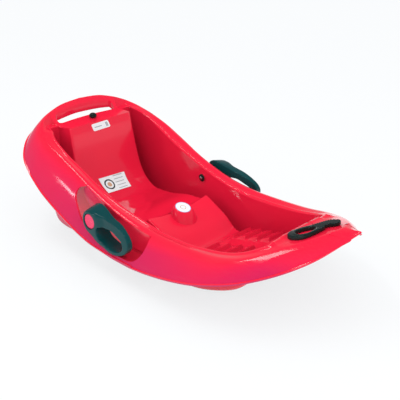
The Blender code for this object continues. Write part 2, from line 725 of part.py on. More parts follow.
def build_rope_holder():
    reach = 0.020
    mesh = curve_solid("rope_holder", [HOLDER_OUTLINE, HOLDER_EYE], reach, HOLDER_EDGE, 3)
    for vertex in mesh.vertices:
        a, b, c = vertex.co
        x, y = holder_point(a, b)
        z = HOLDER_TOP - reach + c + a * HOLDER_RISE[0] + b * HOLDER_RISE[1]
        vertex.co = (x, y, z)
    bm = bmesh.new()
    bm.from_mesh(mesh)
    holder = add_object("rope_holder", mesh_from(bm, "rope_holder"), BLACK_PLASTIC)
    boolean(holder, deck_block(), "DIFFERENCE")
    for b in HOLDER_SCREW_Y:
        x, y = holder_point(0, b)
        foot = holder_seat(x, y)
        bore = cylinder("holder_screw_hole", (x, y, foot),
                        (x, y, foot + HOLDER_SCREW_LENGTH + CLEARANCE),
                        HOLDER_SCREW_RADIUS + CLEARANCE, 12)
        boolean(holder, bore, "DIFFERENCE")
    smooth(holder)
    return holder


def turned(name, profile, segments, material):
    """Turned piece round the Z axis; the profile runs down its outer side."""
    bm = bmesh.new()
    verts = [bm.verts.new((r, 0, z)) for r, z in profile]
    for a, b in zip(verts, verts[1:]):
        bm.edges.new((a, b))
    mesh = bpy.data.meshes.new(name)
    bm.to_mesh(mesh)
    bm.free()
    thing = add_object(name, mesh, material)
    screw = thing.modifiers.new("turn", "SCREW")
    screw.steps = segments
    screw.render_steps = segments
    screw.use_merge_vertices = True
    screw.merge_threshold = 0.00001
    return thing


def cap_screw(name, radius, head_radius, head, length, material=STEEL_FINISH):
    """Pan-head screw along +Z: the head's seat at z = 0, the shank above it."""
    dome = head * 0.35
    profile = [(0, length), (radius * 0.7, length), (radius, length - radius * 0.6), (radius, 0)]
    profile += [(head_radius, 0), (head_radius, -head + dome), (head_radius * 0.7, -head), (0, -head)]
    return turned(name, profile, 16, material)


def ring(name, inner, outer, thickness, segments, material):
    """Flat ring round the Z axis from z = 0 up."""
    profile = [(inner, thickness), (outer, thickness), (outer, 0), (inner, 0), (inner, thickness)]
    return turned(name, profile, segments, material)


def aim(thing, place, direction):
    """Puts a turned piece at its place with its Z axis along the direction."""
    thing.location = place
    thing.rotation_euler = Vector(direction).to_track_quat("Z", "Y").to_euler()


def build_holder_screws():
    """Two screws from below, under the near and the far end of the holder."""
    for b, word in zip(HOLDER_SCREW_Y, ("right", "left")):
        screw = cap_screw("rope_holder_screw_" + word, HOLDER_SCREW_RADIUS, SCREW_HEAD_RADIUS,
                          SCREW_HEAD, HOLDER_SCREW_LENGTH)
        x, y = holder_point(0, b)
        aim(screw, (x, y, holder_seat(x, y) - CLEARANCE), (0, 0, 1))


# Brake levers, seen from the rider's left side: a is forward of the axis, b above it
LEVER_OUTLINE = [
    (-0.0245, 0.013), (-0.0265, -0.006), (-0.0150, -0.025), (0.0075, -0.036), (0.0275, -0.047),
    (0.0525, -0.053), (0.0725, -0.058), (0.0935, -0.058), (0.1155, -0.051), (0.1355, -0.038),
    (0.1435, -0.018), (0.1360, -0.008), (0.1060, 0.001), (0.0700, 0.014), (0.0400, 0.028),
    (0.0150, 0.032), (-0.0080, 0.026), (-0.0190, 0.020)]
LEVER_OPENING = [
    (0.0260, -0.012), (0.0390, -0.004), (0.0560, -0.002), (0.0760, -0.002), (0.0980, -0.008),
    (0.1100, -0.018), (0.1110, -0.030), (0.1020, -0.041), (0.0780, -0.047), (0.0550, -0.043),
    (0.0340, -0.034)]


def build_lever(side, word):
    half = (HUB_FACE - LEVER_INNER) / 2
    mesh = curve_solid("brake_lever_" + word, [LEVER_OUTLINE, LEVER_OPENING], half, LEVER_EDGE, 3)
    px, pz = PIVOT
    for vertex in mesh.vertices:
        a, b, c = vertex.co
        lean = ease(a / LEVER_REACH) * (HUB_FACE - GRIP_FACE)
        face = HUB_FACE - float(lean)
        y = LEVER_INNER + (c + half) / (2 * half) * (face - LEVER_INNER)
        vertex.co = (a, side * y, b)
    bm = bmesh.new()
    bm.from_mesh(mesh)
    lever = add_object("brake_lever_" + word, mesh_from(bm, "brake_lever_" + word), LEVER_PLASTIC)
    lever.location = (px, 0, pz)
    bore = cylinder("lever_bore", (px, side * 0.17, pz), (px, side * 0.27, pz),
                    AXLE_RADIUS + CLEARANCE, 32)
    sink = cylinder("lever_counterbore", (px, side * (HUB_FACE - AXLE_SET - AXLE_HEAD - CLEARANCE), pz),
                    (px, side * 0.27, pz), AXLE_HEAD_RADIUS + 2 * CLEARANCE, 40)
    boolean(lever, bore, "DIFFERENCE")
    boolean(lever, sink, "DIFFERENCE")
    for a, b in claw_screw_places():
        hole = cylinder("claw_screw_hole", (px + a, side * (LEVER_INNER - 0.01), pz + b),
                        (px + a, side * (LEVER_INNER + CLAW_SCREW_LENGTH), pz + b),
                        CLAW_SCREW_RADIUS + CLEARANCE, 12)
        boolean(lever, hole, "DIFFERENCE")
    smooth(lever)
    return lever


def claw_screw_places():
    """Two screws beside the axle, square to the claw's arm."""
    places = []
    for turn in (radians(95), radians(-85)):
        a = CLAW_REST + turn
        places.append((CLAW_SCREW_CIRCLE * cos(a), CLAW_SCREW_CIRCLE * sin(a)))
    return places


def build_claw(side, word):
    """Steel plate: an eye round the axle, an arm, and two teeth at its end."""
    px, pz = PIVOT
    name = "brake_claw_" + word
    inner = LEVER_INNER - CLEARANCE - CLAW_THICKNESS
    outline = [(CLAW_RADIUS * cos(radians(35 + 290 * k / 18)),
                CLAW_RADIUS * sin(radians(35 + 290 * k / 18))) for k in range(19)]
    neck = CLAW_REACH - 0.030
    outline += [(neck, -CLAW_ARM), (CLAW_REACH - 0.014, -CLAW_ARM - 0.005),
                (CLAW_REACH, -CLAW_ARM - 0.004), (CLAW_REACH - 0.009, -0.002),
                (CLAW_REACH - 0.009, 0.002), (CLAW_REACH, CLAW_ARM + 0.004),
                (CLAW_REACH - 0.014, CLAW_ARM + 0.005), (neck, CLAW_ARM)]
    bm = bmesh.new()
    c, s = cos(CLAW_REST), sin(CLAW_REST)
    verts = [bm.verts.new((a * c - b * s, side * inner, a * s + b * c)) for a, b in outline]
    face = bm.faces.new(verts)
    grown = bmesh.ops.extrude_face_region(bm, geom=[face])
    moved = [v for v in grown["geom"] if isinstance(v, bmesh.types.BMVert)]
    bmesh.ops.translate(bm, verts=moved, vec=Vector((0, side * CLAW_THICKNESS, 0)))
    claw = add_object(name, mesh_from(bm, name), STEEL_FINISH)
    claw.location = (px, 0, pz)
    bore = cylinder("claw_bore", (px, side * 0.17, pz), (px, side * 0.20, pz),
                    AXLE_RADIUS + CLEARANCE, 32)
    boolean(claw, bore, "DIFFERENCE")
    slope = (CLAW_SCREW_HEAD - CLAW_SCREW_RADIUS) / CLAW_SCREW_SINK
    deep = CLEARANCE + CLAW_SCREW_SINK
    wide = CLAW_SCREW_HEAD + 1.3 * CLEARANCE + slope * 2 * CLEARANCE
    for a, b in claw_screw_places():
        seat = cylinder("claw_screw_seat", (px + a, side * (inner - CLEARANCE), pz + b),
                        (px + a, side * (inner + deep), pz + b), wide, 16,
                        CLAW_SCREW_RADIUS + 1.3 * CLEARANCE)
        through = cylinder("claw_screw_bore", (px + a, side * 0.17, pz + b),
                           (px + a, side * 0.20, pz + b), CLAW_SCREW_RADIUS + CLEARANCE, 16)
        boolean(claw, seat, "DIFFERENCE")
        boolean(claw, through, "DIFFERENCE")
    return claw


def build_claw_screws(side, word):
    """Two countersunk screws from the claw into the lever."""
    px, pz = PIVOT
    inner = LEVER_INNER - CLEARANCE - CLAW_THICKNESS
    profile = [(0, CLAW_SCREW_LENGTH), (CLAW_SCREW_RADIUS, CLAW_SCREW_LENGTH),
               (CLAW_SCREW_RADIUS, CLAW_SCREW_SINK), (CLAW_SCREW_HEAD, 0), (0, 0)]
    for (a, b), place in zip(claw_screw_places(), ("front", "rear")):
        screw = turned("claw_screw_" + word + "_" + place, profile, 16, STEEL_FINISH)
        aim(screw, (px + a, side * (inner + CLEARANCE), pz + b), (0, side, 0))


def build_axle(side, word):
    """Red axle: a wide head in the lever's counterbore and a shank down to the recess wall."""
    px, pz = PIVOT
    length = HUB_FACE - AXLE_SET - RECESS_WALL - CLEARANCE
    bore = SCREW_RADIUS + CLEARANCE
    depth = PIVOT_PAD - CLEARANCE * 2 - ROSETTE_THICKNESS + PIVOT_SCREW_LENGTH - RECESS_WALL
    edge = 0.0012
    profile = [(0, length), (AXLE_HEAD_RADIUS - edge, length), (AXLE_HEAD_RADIUS, length - edge),
               (AXLE_HEAD_RADIUS, length - AXLE_HEAD), (AXLE_RADIUS, length - AXLE_HEAD),
               (AXLE_RADIUS, 0), (bore, 0), (bore, depth), (0, depth)]
    axle = turned("pivot_axle_" + word, profile, 32, AXLE_PLASTIC)
    aim(axle, (px, side * (RECESS_WALL + CLEARANCE), pz), (0, side, 0))
    return axle


def build_pivot_fixings(side, word):
    px, pz = PIVOT
    rosette = ring("pivot_rosette_" + word, SCREW_RADIUS + CLEARANCE, ROSETTE_RADIUS,
                   ROSETTE_THICKNESS, 24, BLACK_PLASTIC)
    seat = PIVOT_PAD - CLEARANCE - ROSETTE_THICKNESS
    aim(rosette, (px, side * seat, pz), (0, side, 0))
    screw = cap_screw("pivot_screw_" + word, SCREW_RADIUS, SCREW_HEAD_RADIUS, SCREW_HEAD,
                      PIVOT_SCREW_LENGTH)
    aim(screw, (px, side * (seat - CLEARANCE), pz), (0, side, 0))


def build_rope_stud():
    bore = HOLDER_SCREW_RADIUS + CLEARANCE
    depth = STUD_SCREW_LENGTH - STUD_BOSS - WASHER_THICKNESS + CLEARANCE
    neck = STUD_HEIGHT * 0.25
    profile = [(0, STUD_HEIGHT)]
    for k in range(1, 7):
        a = radians(15 * k)
        profile.append((STUD_RADIUS * sin(a), neck + (STUD_HEIGHT - neck) * cos(a)))
    profile += [(STUD_RADIUS * 0.93, neck * 0.8), (STUD_NECK, neck * 0.6), (STUD_NECK, 0),
                (bore, 0), (bore, depth), (0, depth)]
    stud = turned("rope_stud", profile, 28, BLACK_PLASTIC)
    aim(stud, (STUD_X, 0, STUD_PAD + CLEARANCE), (0, 0, 1))
    washer = ring("stud_washer", bore, STUD_NECK, WASHER_THICKNESS, 20, STEEL_FINISH)
    under = STUD_PAD - STUD_BOSS - CLEARANCE
    aim(washer, (STUD_X, 0, under - WASHER_THICKNESS), (0, 0, 1))
    screw = cap_screw("stud_screw", HOLDER_SCREW_RADIUS, SCREW_HEAD_RADIUS, SCREW_HEAD,
                      STUD_SCREW_LENGTH)
    aim(screw, (STUD_X, 0, under - WASHER_THICKNESS - CLEARANCE), (0, 0, 1))


build_tub()
build_rope_holder()
build_holder_screws()
build_rope_stud()
for SIDE, WORD in ((1, "left"), (-1, "right")):
    build_lever(SIDE, WORD)
    build_claw(SIDE, WORD)
    build_claw_screws(SIDE, WORD)
    build_axle(SIDE, WORD)
    build_pivot_fixings(SIDE, WORD)
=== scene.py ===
import bpy
import bmesh
import numpy as np
from math import cos, pi, radians, sin, sqrt
from mathutils import Matrix, Vector
from mathutils.bvhtree import BVHTree


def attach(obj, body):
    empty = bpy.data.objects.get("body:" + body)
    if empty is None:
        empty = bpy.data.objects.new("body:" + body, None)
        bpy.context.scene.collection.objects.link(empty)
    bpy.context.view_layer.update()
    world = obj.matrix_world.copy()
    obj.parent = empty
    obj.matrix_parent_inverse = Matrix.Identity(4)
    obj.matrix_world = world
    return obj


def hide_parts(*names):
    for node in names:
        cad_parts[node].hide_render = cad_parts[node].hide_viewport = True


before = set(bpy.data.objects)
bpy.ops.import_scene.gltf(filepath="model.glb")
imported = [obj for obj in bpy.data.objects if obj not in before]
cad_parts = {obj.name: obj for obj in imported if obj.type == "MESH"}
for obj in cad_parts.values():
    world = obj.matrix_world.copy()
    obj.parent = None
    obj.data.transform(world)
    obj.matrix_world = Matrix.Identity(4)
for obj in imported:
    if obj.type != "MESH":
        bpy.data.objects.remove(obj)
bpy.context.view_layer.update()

# Camera, on the photograph's side: near the rider's right front, 24.5 degrees up,
# with a 67.5 mm lens. It is aimed once and nothing in the scene reads it.
bpy.ops.object.select_all(action="DESELECT")
aim_point = Vector((0.0190, 0.0, 0.1502))
camera_distance = 1.860
camera_side = radians(44.9)
camera_height = radians(24.5)
toward_camera = Vector((sin(camera_side) * cos(camera_height), -cos(camera_side) * cos(camera_height),
                        sin(camera_height)))
bpy.ops.object.camera_add(location=aim_point + toward_camera * camera_distance,
                          rotation=(-toward_camera).to_track_quat("-Z", "Y").to_euler())
camera = bpy.context.object
camera.data.lens = 67.5
camera.data.sensor_width = 36.0
bpy.context.scene.camera = camera
bpy.context.scene.view_settings.view_transform = "Standard"

# Studio: a pale floor that keeps the sled's shadow, a white background, and four
# soft lamps. The big lamp overhead draws the long highlights along the rim.
floor_size = 14.0
floor_gap = 0.0005
paper_colour = (0.905, 0.915, 0.920, 1)
paper_white = (0.955, 0.970, 0.980, 1)
paper_white_share = 0.78
sky_white = (0.97, 0.98, 1.0, 1)
backdrop_white = (0.955, 0.965, 0.975, 1)
sky_strength = 1.10
gloss_at_horizon = 0.45
gloss_overhead = 0.12
gloss_top = 0.9


def feed(node, inputs):
    """Fills a node's inputs: a socket of another node is linked, anything else is the value."""
    for socket, value in inputs.items():
        if isinstance(value, bpy.types.NodeSocket):
            node.id_data.links.new(value, node.inputs[socket])
        else:
            node.inputs[socket].default_value = value


def add_node(tree, kind, inputs=None, operation=None, output=0):
    """Output of a new shader node that has its operation and its inputs."""
    node = tree.nodes.new("ShaderNode" + kind)
    if operation:
        node.operation = operation
    feed(node, inputs or {})
    return node.outputs[output]


bpy.ops.mesh.primitive_plane_add(size=floor_size, location=(0, 0, -floor_gap))
floor = bpy.context.object
floor.name = "studio_floor"
floor_material = bpy.data.materials.new("studio_floor_paper")
floor_material.use_nodes = True
tree = floor_material.node_tree
floor_shader = tree.nodes["Principled BSDF"]
feed(floor_shader, {"Base Color": paper_colour, "Roughness": 0.9, "Specular IOR Level": 0.1})
ray = tree.nodes.new("ShaderNodeLightPath").outputs
seen_directly = add_node(tree, "Math", {0: ray["Is Camera Ray"], 1: ray["Is Glossy Ray"]}, "MAXIMUM")
white_share = add_node(tree, "Math", {0: seen_directly, 1: paper_white_share}, "MULTIPLY")
white_paper = add_node(tree, "Emission", {"Color": paper_white, "Strength": 1.0})
paper = add_node(tree, "MixShader", {"Fac": white_share, 1: floor_shader.outputs["BSDF"], 2: white_paper})
feed(tree.nodes["Material Output"], {"Surface": paper})
floor.data.materials.append(floor_material)

world = bpy.data.worlds.new("studio_world")
bpy.context.scene.world = world
world.use_nodes = True
sky = world.node_tree
background = sky.nodes["Background"]
feed(background, {"Color": sky_white, "Strength": sky_strength})
gloss_place = add_node(sky, "TexCoord", output="Generated")
gloss_height = add_node(sky, "SeparateXYZ", {"Vector": gloss_place}, output="Z")
gloss_ramp = add_node(sky, "MapRange", {"Value": gloss_height, "From Max": gloss_top,
                                        "To Min": gloss_at_horizon, "To Max": gloss_overhead})
dim = add_node(sky, "Background", {"Color": sky_white, "Strength": gloss_ramp})
white = add_node(sky, "Background", {"Color": backdrop_white, "Strength": 1.0})
ray = sky.nodes.new("ShaderNodeLightPath").outputs
lighting = add_node(sky, "MixShader", {"Fac": ray["Is Glossy Ray"], 1: background.outputs[0], 2: dim})
chosen = add_node(sky, "MixShader", {"Fac": ray["Is Camera Ray"], 1: lighting, 2: white})
feed(sky.nodes["World Output"], {"Surface": chosen})

studio_lamps = [
    # name, place, aim, width, depth, power, colour, shows in reflections
    ("overhead_box", (-0.35, -0.55, 1.75), (0.0, 0.0, 0.1), 1.5, 0.14, 6.0, (1.0, 0.99, 0.98), True),
    ("front_box", (2.0, -0.5, 1.30), (0.0, 0.0, 0.12), 0.60, 0.6, 8.0, (1.0, 1.0, 1.0), False),
    ("side_box", (-1.0, -2.1, 0.9), (-0.1, -0.1, 0.12), 0.5, 0.12, 2.5, (0.92, 0.95, 1.0), True),
    ("nose_box", (1.1, -1.7, 0.45), (0.30, -0.15, 0.12), 0.36, 0.10, 1.2, (0.95, 0.97, 1.0), True),
]
for name, place, aim, width, depth, power, colour, mirrored in studio_lamps:
    bpy.ops.object.light_add(type="AREA", location=place)
    lamp = bpy.context.object
    lamp.name = name
    lamp.rotation_euler = (Vector(aim) - Vector(place)).to_track_quat("-Z", "Y").to_euler()
    lamp.data.shape = "RECTANGLE"
    lamp.data.size = width
    lamp.data.size_y = depth
    lamp.data.energy = power
    lamp.data.color = colour
    lamp.visible_glossy = mirrored

# Tub: one injection moulding of red polyethylene, about 4 mm thick, with a backrest and
# seat in the middle, a hollow runner on each side, a rounded rim and a broad skirt. It is
# lofted over the sled's cross-sections, mirrored, given its wall, and then cut.
tub_wall = 0.004
rim_half_width = 0.150
rim_width = 0.026
skirt_reach = 0.062
pan_half_width = 0.100
pan_edge = 0.006
spine_half_width = 0.022
channel_draft = 0.011
skirt_power = 1.7
bead_height = 0.0032
bead_width = 0.016
hem_lip = 0.004
block_dip = 0.0125
block_rear = -0.066
block_front = 0.062
rib_first = 0.111
rib_pitch = 0.037
rib_count = 4
rib_height = 0.009
rib_riser = 0.003
rib_fade = 0.006
block_rise = 0.003
block_fall = 0.110
heel_ends = (-0.200, -0.350)
heel_straight = 0.85
channel_lean = 0.004
# pan x, z; channel x, z; rim edge x, z; shares of the rim's and the pan's half widths
tub_sections = [
    (-0.3650, 0.2680, -0.4090, 0.2660, -0.3900, 0.2620, 0.933, 0.98),
    (-0.3610, 0.2480, -0.4115, 0.2200, -0.3800, 0.2580, 0.973, 0.99),
    (-0.3530, 0.2050, -0.4130, 0.1470, -0.3470, 0.2440, 1.030, 1.01),
    (-0.3350, 0.1370, -0.3960, 0.0600, -0.3000, 0.2210, 1.037, 1.02),
    (-0.3100, 0.0950, -0.3785, 0.0120, -0.2410, 0.1950, 1.020, 1.01),
    (-0.2570, 0.0670, -0.3310, 0.0040, -0.1760, 0.1690, 1.020, 1.00),
    (-0.2030, 0.0710, -0.2160, 0.0040, -0.1190, 0.1500, 1.017, 1.00),
    (-0.1290, 0.0870, -0.1300, 0.0040, -0.0720, 0.1380, 1.000, 1.00),
    (-0.0660, 0.0940, -0.0690, 0.0040, -0.0300, 0.1310, 0.983, 1.00),
    (-0.0600, 0.1060, -0.0625, 0.0040, -0.0250, 0.1300, 0.980, 1.00),
    (0.0120, 0.0750, 0.0070, 0.0040, 0.0200, 0.1235, 0.977, 0.96),
    (0.0620, 0.0480, 0.0640, 0.0040, 0.0660, 0.1205, 0.980, 0.91),
    (0.1120, 0.0690, 0.1270, 0.0080, 0.1210, 0.1225, 0.980, 0.86),
    (0.2030, 0.0950, 0.2060, 0.0280, 0.2010, 0.1320, 0.947, 0.76),
    (0.2665, 0.1200, 0.2690, 0.0620, 0.2620, 0.1460, 0.900, 0.70),
    (0.3010, 0.1480, 0.3020, 0.1180, 0.2990, 0.1620, 0.810, 0.66),
    (0.3260, 0.1840, 0.3250, 0.1800, 0.3250, 0.1770, 0.690, 0.58),
]
last_section = len(tub_sections) - 1
# place round the rim; crest x, y share, z; hem x, y share, z
rim_guides = [
    (0, -0.4590, 0.000, 0.3110, -0.4810, 0.000, 0.2660),
    (1, -0.4560, 0.307, 0.3080, -0.4780, 0.277, 0.2640),
    (2, -0.4470, 0.580, 0.2970, -0.4710, 0.546, 0.2570),
    (3, -0.4290, 0.813, 0.2800, -0.4540, 0.752, 0.2380),
    (4, -0.3980, 0.943, 0.2630, -0.4160, 0.916, 0.2000),
    (5, -0.3550, 1.000, 0.2470, -0.3620, 0.979, 0.1690),
    (6, -0.3030, 1.011, 0.2300, -0.3030, 1.000, 0.1360),
    (7, -0.2430, 1.006, 0.2060, -0.2420, 1.000, 0.1070),
    (8, -0.1760, 1.000, 0.1770, -0.1760, 1.000, 0.0820),
    (9, -0.1190, 0.994, 0.1570, -0.1190, 1.000, 0.0680),
    (10, -0.0720, 0.989, 0.1440, -0.0720, 1.000, 0.0640),
    (11, -0.0300, 0.983, 0.1360, -0.0300, 1.000, 0.0610),
    (13, 0.0200, 0.977, 0.1310, 0.0200, 1.000, 0.0610),
    (14, 0.0660, 0.977, 0.1290, 0.0660, 1.000, 0.0650),
    (15, 0.1200, 0.977, 0.1300, 0.1220, 0.996, 0.0730),
    (16, 0.2010, 0.966, 0.1350, 0.2030, 0.975, 0.0890),
    (17, 0.2630, 0.937, 0.1460, 0.2710, 0.912, 0.1070),
    (18, 0.3130, 0.830, 0.1610, 0.3290, 0.786, 0.1240),
    (19, 0.3560, 0.642, 0.1810, 0.3850, 0.563, 0.1470),
    (20, 0.3970, 0.420, 0.2010, 0.4330, 0.335, 0.1780),
    (21, 0.4300, 0.190, 0.2170, 0.4660, 0.100, 0.2110),
    (22, 0.4440, 0.000, 0.2240, 0.4810, 0.000, 0.2290),
]
crest_half_width = rim_half_width + rim_width
hem_half_width = crest_half_width + skirt_reach


def flowing(knots, rows, t):
    """Smooth curve through the rows that never overshoots; row k lies at knots[k]."""
    x = np.array(knots, float)
    y = np.array(rows, float)
    step = np.diff(x)
    slope = np.diff(y, axis=0) / step[:, None]
    tangent = np.zeros_like(y)
    for k in range(1, len(x) - 1):
        w1 = 2 * step[k] + step[k - 1]
        w2 = step[k] + 2 * step[k - 1]
        same = slope[k - 1] * slope[k] > 0
        before = np.where(same, slope[k - 1], 1)
        after = np.where(same, slope[k], 1)
        tangent[k] = np.where(same, (w1 + w2) / (w1 / before + w2 / after), 0)
    tangent[0] = slope[0]
    tangent[-1] = slope[-1]
    t = np.clip(np.asarray(t, float), x[0], x[-1])
    k = np.clip(np.searchsorted(x, t, side="right") - 1, 0, len(x) - 2)
    u = ((t - x[k]) / step[k])[:, None]
    h = step[k][:, None]
    return ((2 * u**3 - 3 * u**2 + 1) * y[k] + (u**3 - 2 * u**2 + u) * h * tangent[k]
            + (3 * u**2 - 2 * u**3) * y[k + 1] + (u**3 - u**2) * h * tangent[k + 1])


def eased(u):
    u = np.clip(u, 0, 1)
    return u * u * (3 - 2 * u)


def ramp(value, zero_at, full_at):
    """Eased share that is 0 at one place and 1 at the other."""
    return float(eased((value - zero_at) / (full_at - zero_at)))


def foot_rib(x):
    """Height of the foot ribs' saw-tooth over the floor."""
    for k in range(rib_count):
        crest = rib_first + k * rib_pitch
        start = crest - rib_pitch + rib_riser
        if start < x <= crest:
            return rib_height * (x - start) / (crest - start)
        if crest < x < crest + rib_riser:
            return rib_height * (1 - (x - crest) / rib_riser)
    return 0.0


def bent(first, corner, last, parts):
    """Points of a rounded corner between two places, both included."""
    first, corner, last = Vector(first), Vector(corner), Vector(last)
    points = []
    for k in range(parts + 1):
        u = k / parts
        points.append(tuple(first * (1 - u)**2 + corner * 2 * u * (1 - u) + last * u**2))
    return points


def tub_line(section):
    """Inside of the tub at one cross-section, from the middle out to the rim."""
    xc, zc, xg, zg, xr, zr, rim_share, pan_share = section
    pan = np.array([xc, zc])
    rim = np.array([xr, zr])
    down = np.array([xg, zg]) - pan
    depth = np.linalg.norm(down)
    down = down / depth
    half = pan_half_width * pan_share
    outer = rim_half_width * rim_share
    foot = outer - channel_draft * (1 - heel_straight * ramp(xg, *heel_ends))
    r = min(pan_edge, depth / 3)
    hollow = block_dip * ramp(xc, block_rear, block_rear + block_rise)
    hollow *= ramp(xc, block_front, block_front - block_fall)
    spine = [0, 0.006, 0.012, 0.018, spine_half_width, spine_half_width + 0.0025, spine_half_width + 0.006]
    line = []
    for y in spine + [share * half for share in (0.45, 0.62, 0.75, 0.88, 0.96)]:
        ribbed = foot_rib(xc) * ramp(y, spine_half_width, spine_half_width + rib_fade)
        line.append((xc, y, zc + ribbed - hollow * (1 - (y / half)**2)))

    def below(y, d):
        p = pan + down * d
        return (p[0], y, p[1])

    top_edge = bent(below(half, 0), below(half + pan_edge, 0), below(half + pan_edge, r), 5)
    for k, (x, y, z) in enumerate(top_edge):
        line.append((x, y, z + foot_rib(xc) * ramp(k, 5, 0)))
    wall = half + pan_edge + channel_lean
    line.append(below(half + pan_edge + 0.0015, r + (depth - 2 * r) * 0.33))
    line.append(below(half + pan_edge + 0.003, r + (depth - 2 * r) * 0.67))
    line += bent(below(wall, depth - r), below(wall + 0.0005, depth), below(wall + 0.006, depth), 4)
    line += bent(below(foot - 0.008, depth), below(foot - 0.0005, depth), below(foot, depth - r), 4)
    start = pan + down * (depth - r)
    for v in (0.17, 0.33, 0.5, 0.67, 0.83, 0.94, 1.0):
        q = start + (rim - start) * v
        line.append((q[0], foot + (outer - foot) * v, q[1]))
    return line


section_places = np.linspace(0, last_section, 1601)
pan_along = flowing(range(last_section + 1), tub_sections, section_places)[:, 0]
tub_places = list(np.linspace(0, 8, 49)) + list(np.linspace(8, 9, 7)[1:])
tub_places += list(np.linspace(9, 10, 9)[1:]) + list(np.linspace(10, 16, 43)[1:])
for k in range(rib_count):
    crest = rib_first + k * rib_pitch
    for x in (crest - 0.0006, crest, crest + 0.0008, crest + rib_riser - 0.0006, crest + rib_riser,
              crest + rib_riser + 0.001):
        tub_places.append(float(np.interp(x, pan_along, section_places)))
tub_places = np.array(sorted(set(tub_places)))
tub_grid = np.array([tub_line(s) for s in
                     flowing(range(last_section + 1), tub_sections, tub_places)])
pan_last = 12  # where a line's points leave the pan


def end_share(line):
    """Places of an end row's points: 0 in the middle, 2 at the pan's edge, 3 at the rim."""
    y = line[:, 1]
    pan, rim = y[pan_last], y[-1]
    return list(np.where(y <= pan, 2 * y / pan, 2 + (y - pan) / (rim - pan)))


rim_edge = np.array(list(tub_grid[0]) + list(tub_grid[1:, -1]) + list(tub_grid[-1, -2::-1]))
nose_share = [22 - place for place in end_share(tub_grid[-1])]
rim_place = np.array(end_share(tub_grid[0]) + list(3 + tub_places[1:]) + nose_share[-2::-1])
guide = flowing([g[0] for g in rim_guides], [g[1:] for g in rim_guides], rim_place)
crest_line = guide[:, :3] * np.array([1, crest_half_width, 1])
hem_line = guide[:, 3:] * np.array([1, hem_half_width, 1])
crest_way = crest_line - rim_edge
way_width = np.linalg.norm(crest_way[:, :2], axis=1)
steep_rear = eased((4.2 - rim_place) / 2.0)
bead_here = bead_height * eased((rim_place - 2.4) / 1.4)


def rim_between(share):
    """Ring on the rim's way up, at that share of the way from its edge to its crest."""
    front = np.clip((share - 0.7) / 0.3, 0, 1)**1.4 - 0.1 * share * (1 - share)
    lifted = share * (1 - steep_rear) + front * steep_rear
    ring = rim_edge.copy()
    ring[:, :2] += crest_way[:, :2] * share[:, None]
    ring[:, 2] += crest_way[:, 2] * lifted
    return ring


rim_rings = [rim_edge]
bead_steps = (0.12, 0.25, 0.40, 0.55, 0.70, 0.85, 1.0)
for k, reach in enumerate(bead_steps):
    ring = rim_between(np.minimum(reach * bead_width / way_width, 0.48 * (k + 1) / len(bead_steps)))
    ring[:, 2] += sin(pi * reach**0.85) * bead_here
    rim_rings.append(ring)
for share in (0.56, 0.64, 0.72, 0.80, 0.87, 0.94):
    rim_rings.append(rim_between(np.full(len(rim_edge), share)))
rim_rings.append(crest_line)
crest_ring = len(rim_rings) - 1
for v in (0.06, 0.13, 0.21, 0.30, 0.39, 0.48, 0.57, 0.66, 0.75, 0.84, 0.92, 1.0):
    ring = crest_line.copy()
    ring[:, :2] += (hem_line - crest_line)[:, :2] * v
    ring[:, 2] += (hem_line - crest_line)[:, 2] * v**skirt_power
    rim_rings.append(ring)
hem_ring = len(rim_rings) - 1
lip_way = (hem_line - crest_line)[:, :2]
lip_way = lip_way / np.linalg.norm(lip_way, axis=1)[:, None]
for part in (0.5, 1.0):
    ring = hem_line.copy()
    ring[:, :2] += lip_way * hem_lip * part
    ring[:, 2] -= 0.3 * hem_lip * part
    rim_rings.append(ring)
rim_rings = np.array(rim_rings)


def as_object(name, bm, outward=True, place=None):
    """Object made of the bmesh, with its faces turned outward and its mesh put at its place."""
    if outward:
        bmesh.ops.recalc_face_normals(bm, faces=bm.faces)
    if place is not None:
        bm.transform(place)
    mesh = bpy.data.meshes.new(name)
    bm.to_mesh(mesh)
    bm.free()
    thing = bpy.data.objects.new(name, mesh)
    bpy.context.scene.collection.objects.link(thing)
    return thing


bm = bmesh.new()
inside = [[bm.verts.new(p) for p in line] for line in tub_grid]
edge = inside[0] + [line[-1] for line in inside[1:]] + inside[-1][-2::-1]
around = [edge] + [[bm.verts.new(p) for p in ring] for ring in rim_rings[1:]]
for upper, lower in zip(inside, inside[1:]):
    for j in range(len(upper) - 1):
        bm.faces.new((upper[j], lower[j], lower[j + 1], upper[j + 1]))
for inner, outer in zip(around, around[1:]):
    for b in range(len(edge) - 1):
        bm.faces.new((inner[b], inner[b + 1], outer[b + 1], outer[b]))
for vertex in bm.verts:
    if abs(vertex.co.y) < 1e-6:
        vertex.co.y = 0.0
tub = as_object("moulded_tub", bm, outward=False)


def use_only(thing):
    bpy.ops.object.select_all(action="DESELECT")
    thing.select_set(True)
    bpy.context.view_layer.objects.active = thing


def finish_modifiers(thing):
    use_only(thing)
    for modifier in list(thing.modifiers):
        bpy.ops.object.modifier_apply(modifier=modifier.name)


def smoothed(thing, degrees):
    use_only(thing)
    bpy.ops.object.shade_smooth_by_angle(angle=radians(degrees))


def on_both_sides(thing):
    other_side = thing.modifiers.new("other_side", "MIRROR")
    other_side.use_axis = (False, True, False)
    other_side.merge_threshold = 0.0001
    finish_modifiers(thing)
    return thing


on_both_sides(tub)
skin = tub.modifiers.new("wall", "SOLIDIFY")
skin.thickness = tub_wall
skin.offset = -1.0
skin.use_even_offset = False
finish_modifiers(tub)


def swept(name, bm, faces, way):
    """Closed solid that the faces sweep along a way."""
    grown = bmesh.ops.extrude_face_region(bm, geom=faces)
    moved = [v for v in grown["geom"] if isinstance(v, bmesh.types.BMVert)]
    bmesh.ops.translate(bm, verts=moved, vec=Vector(way))
    return as_object(name, bm)


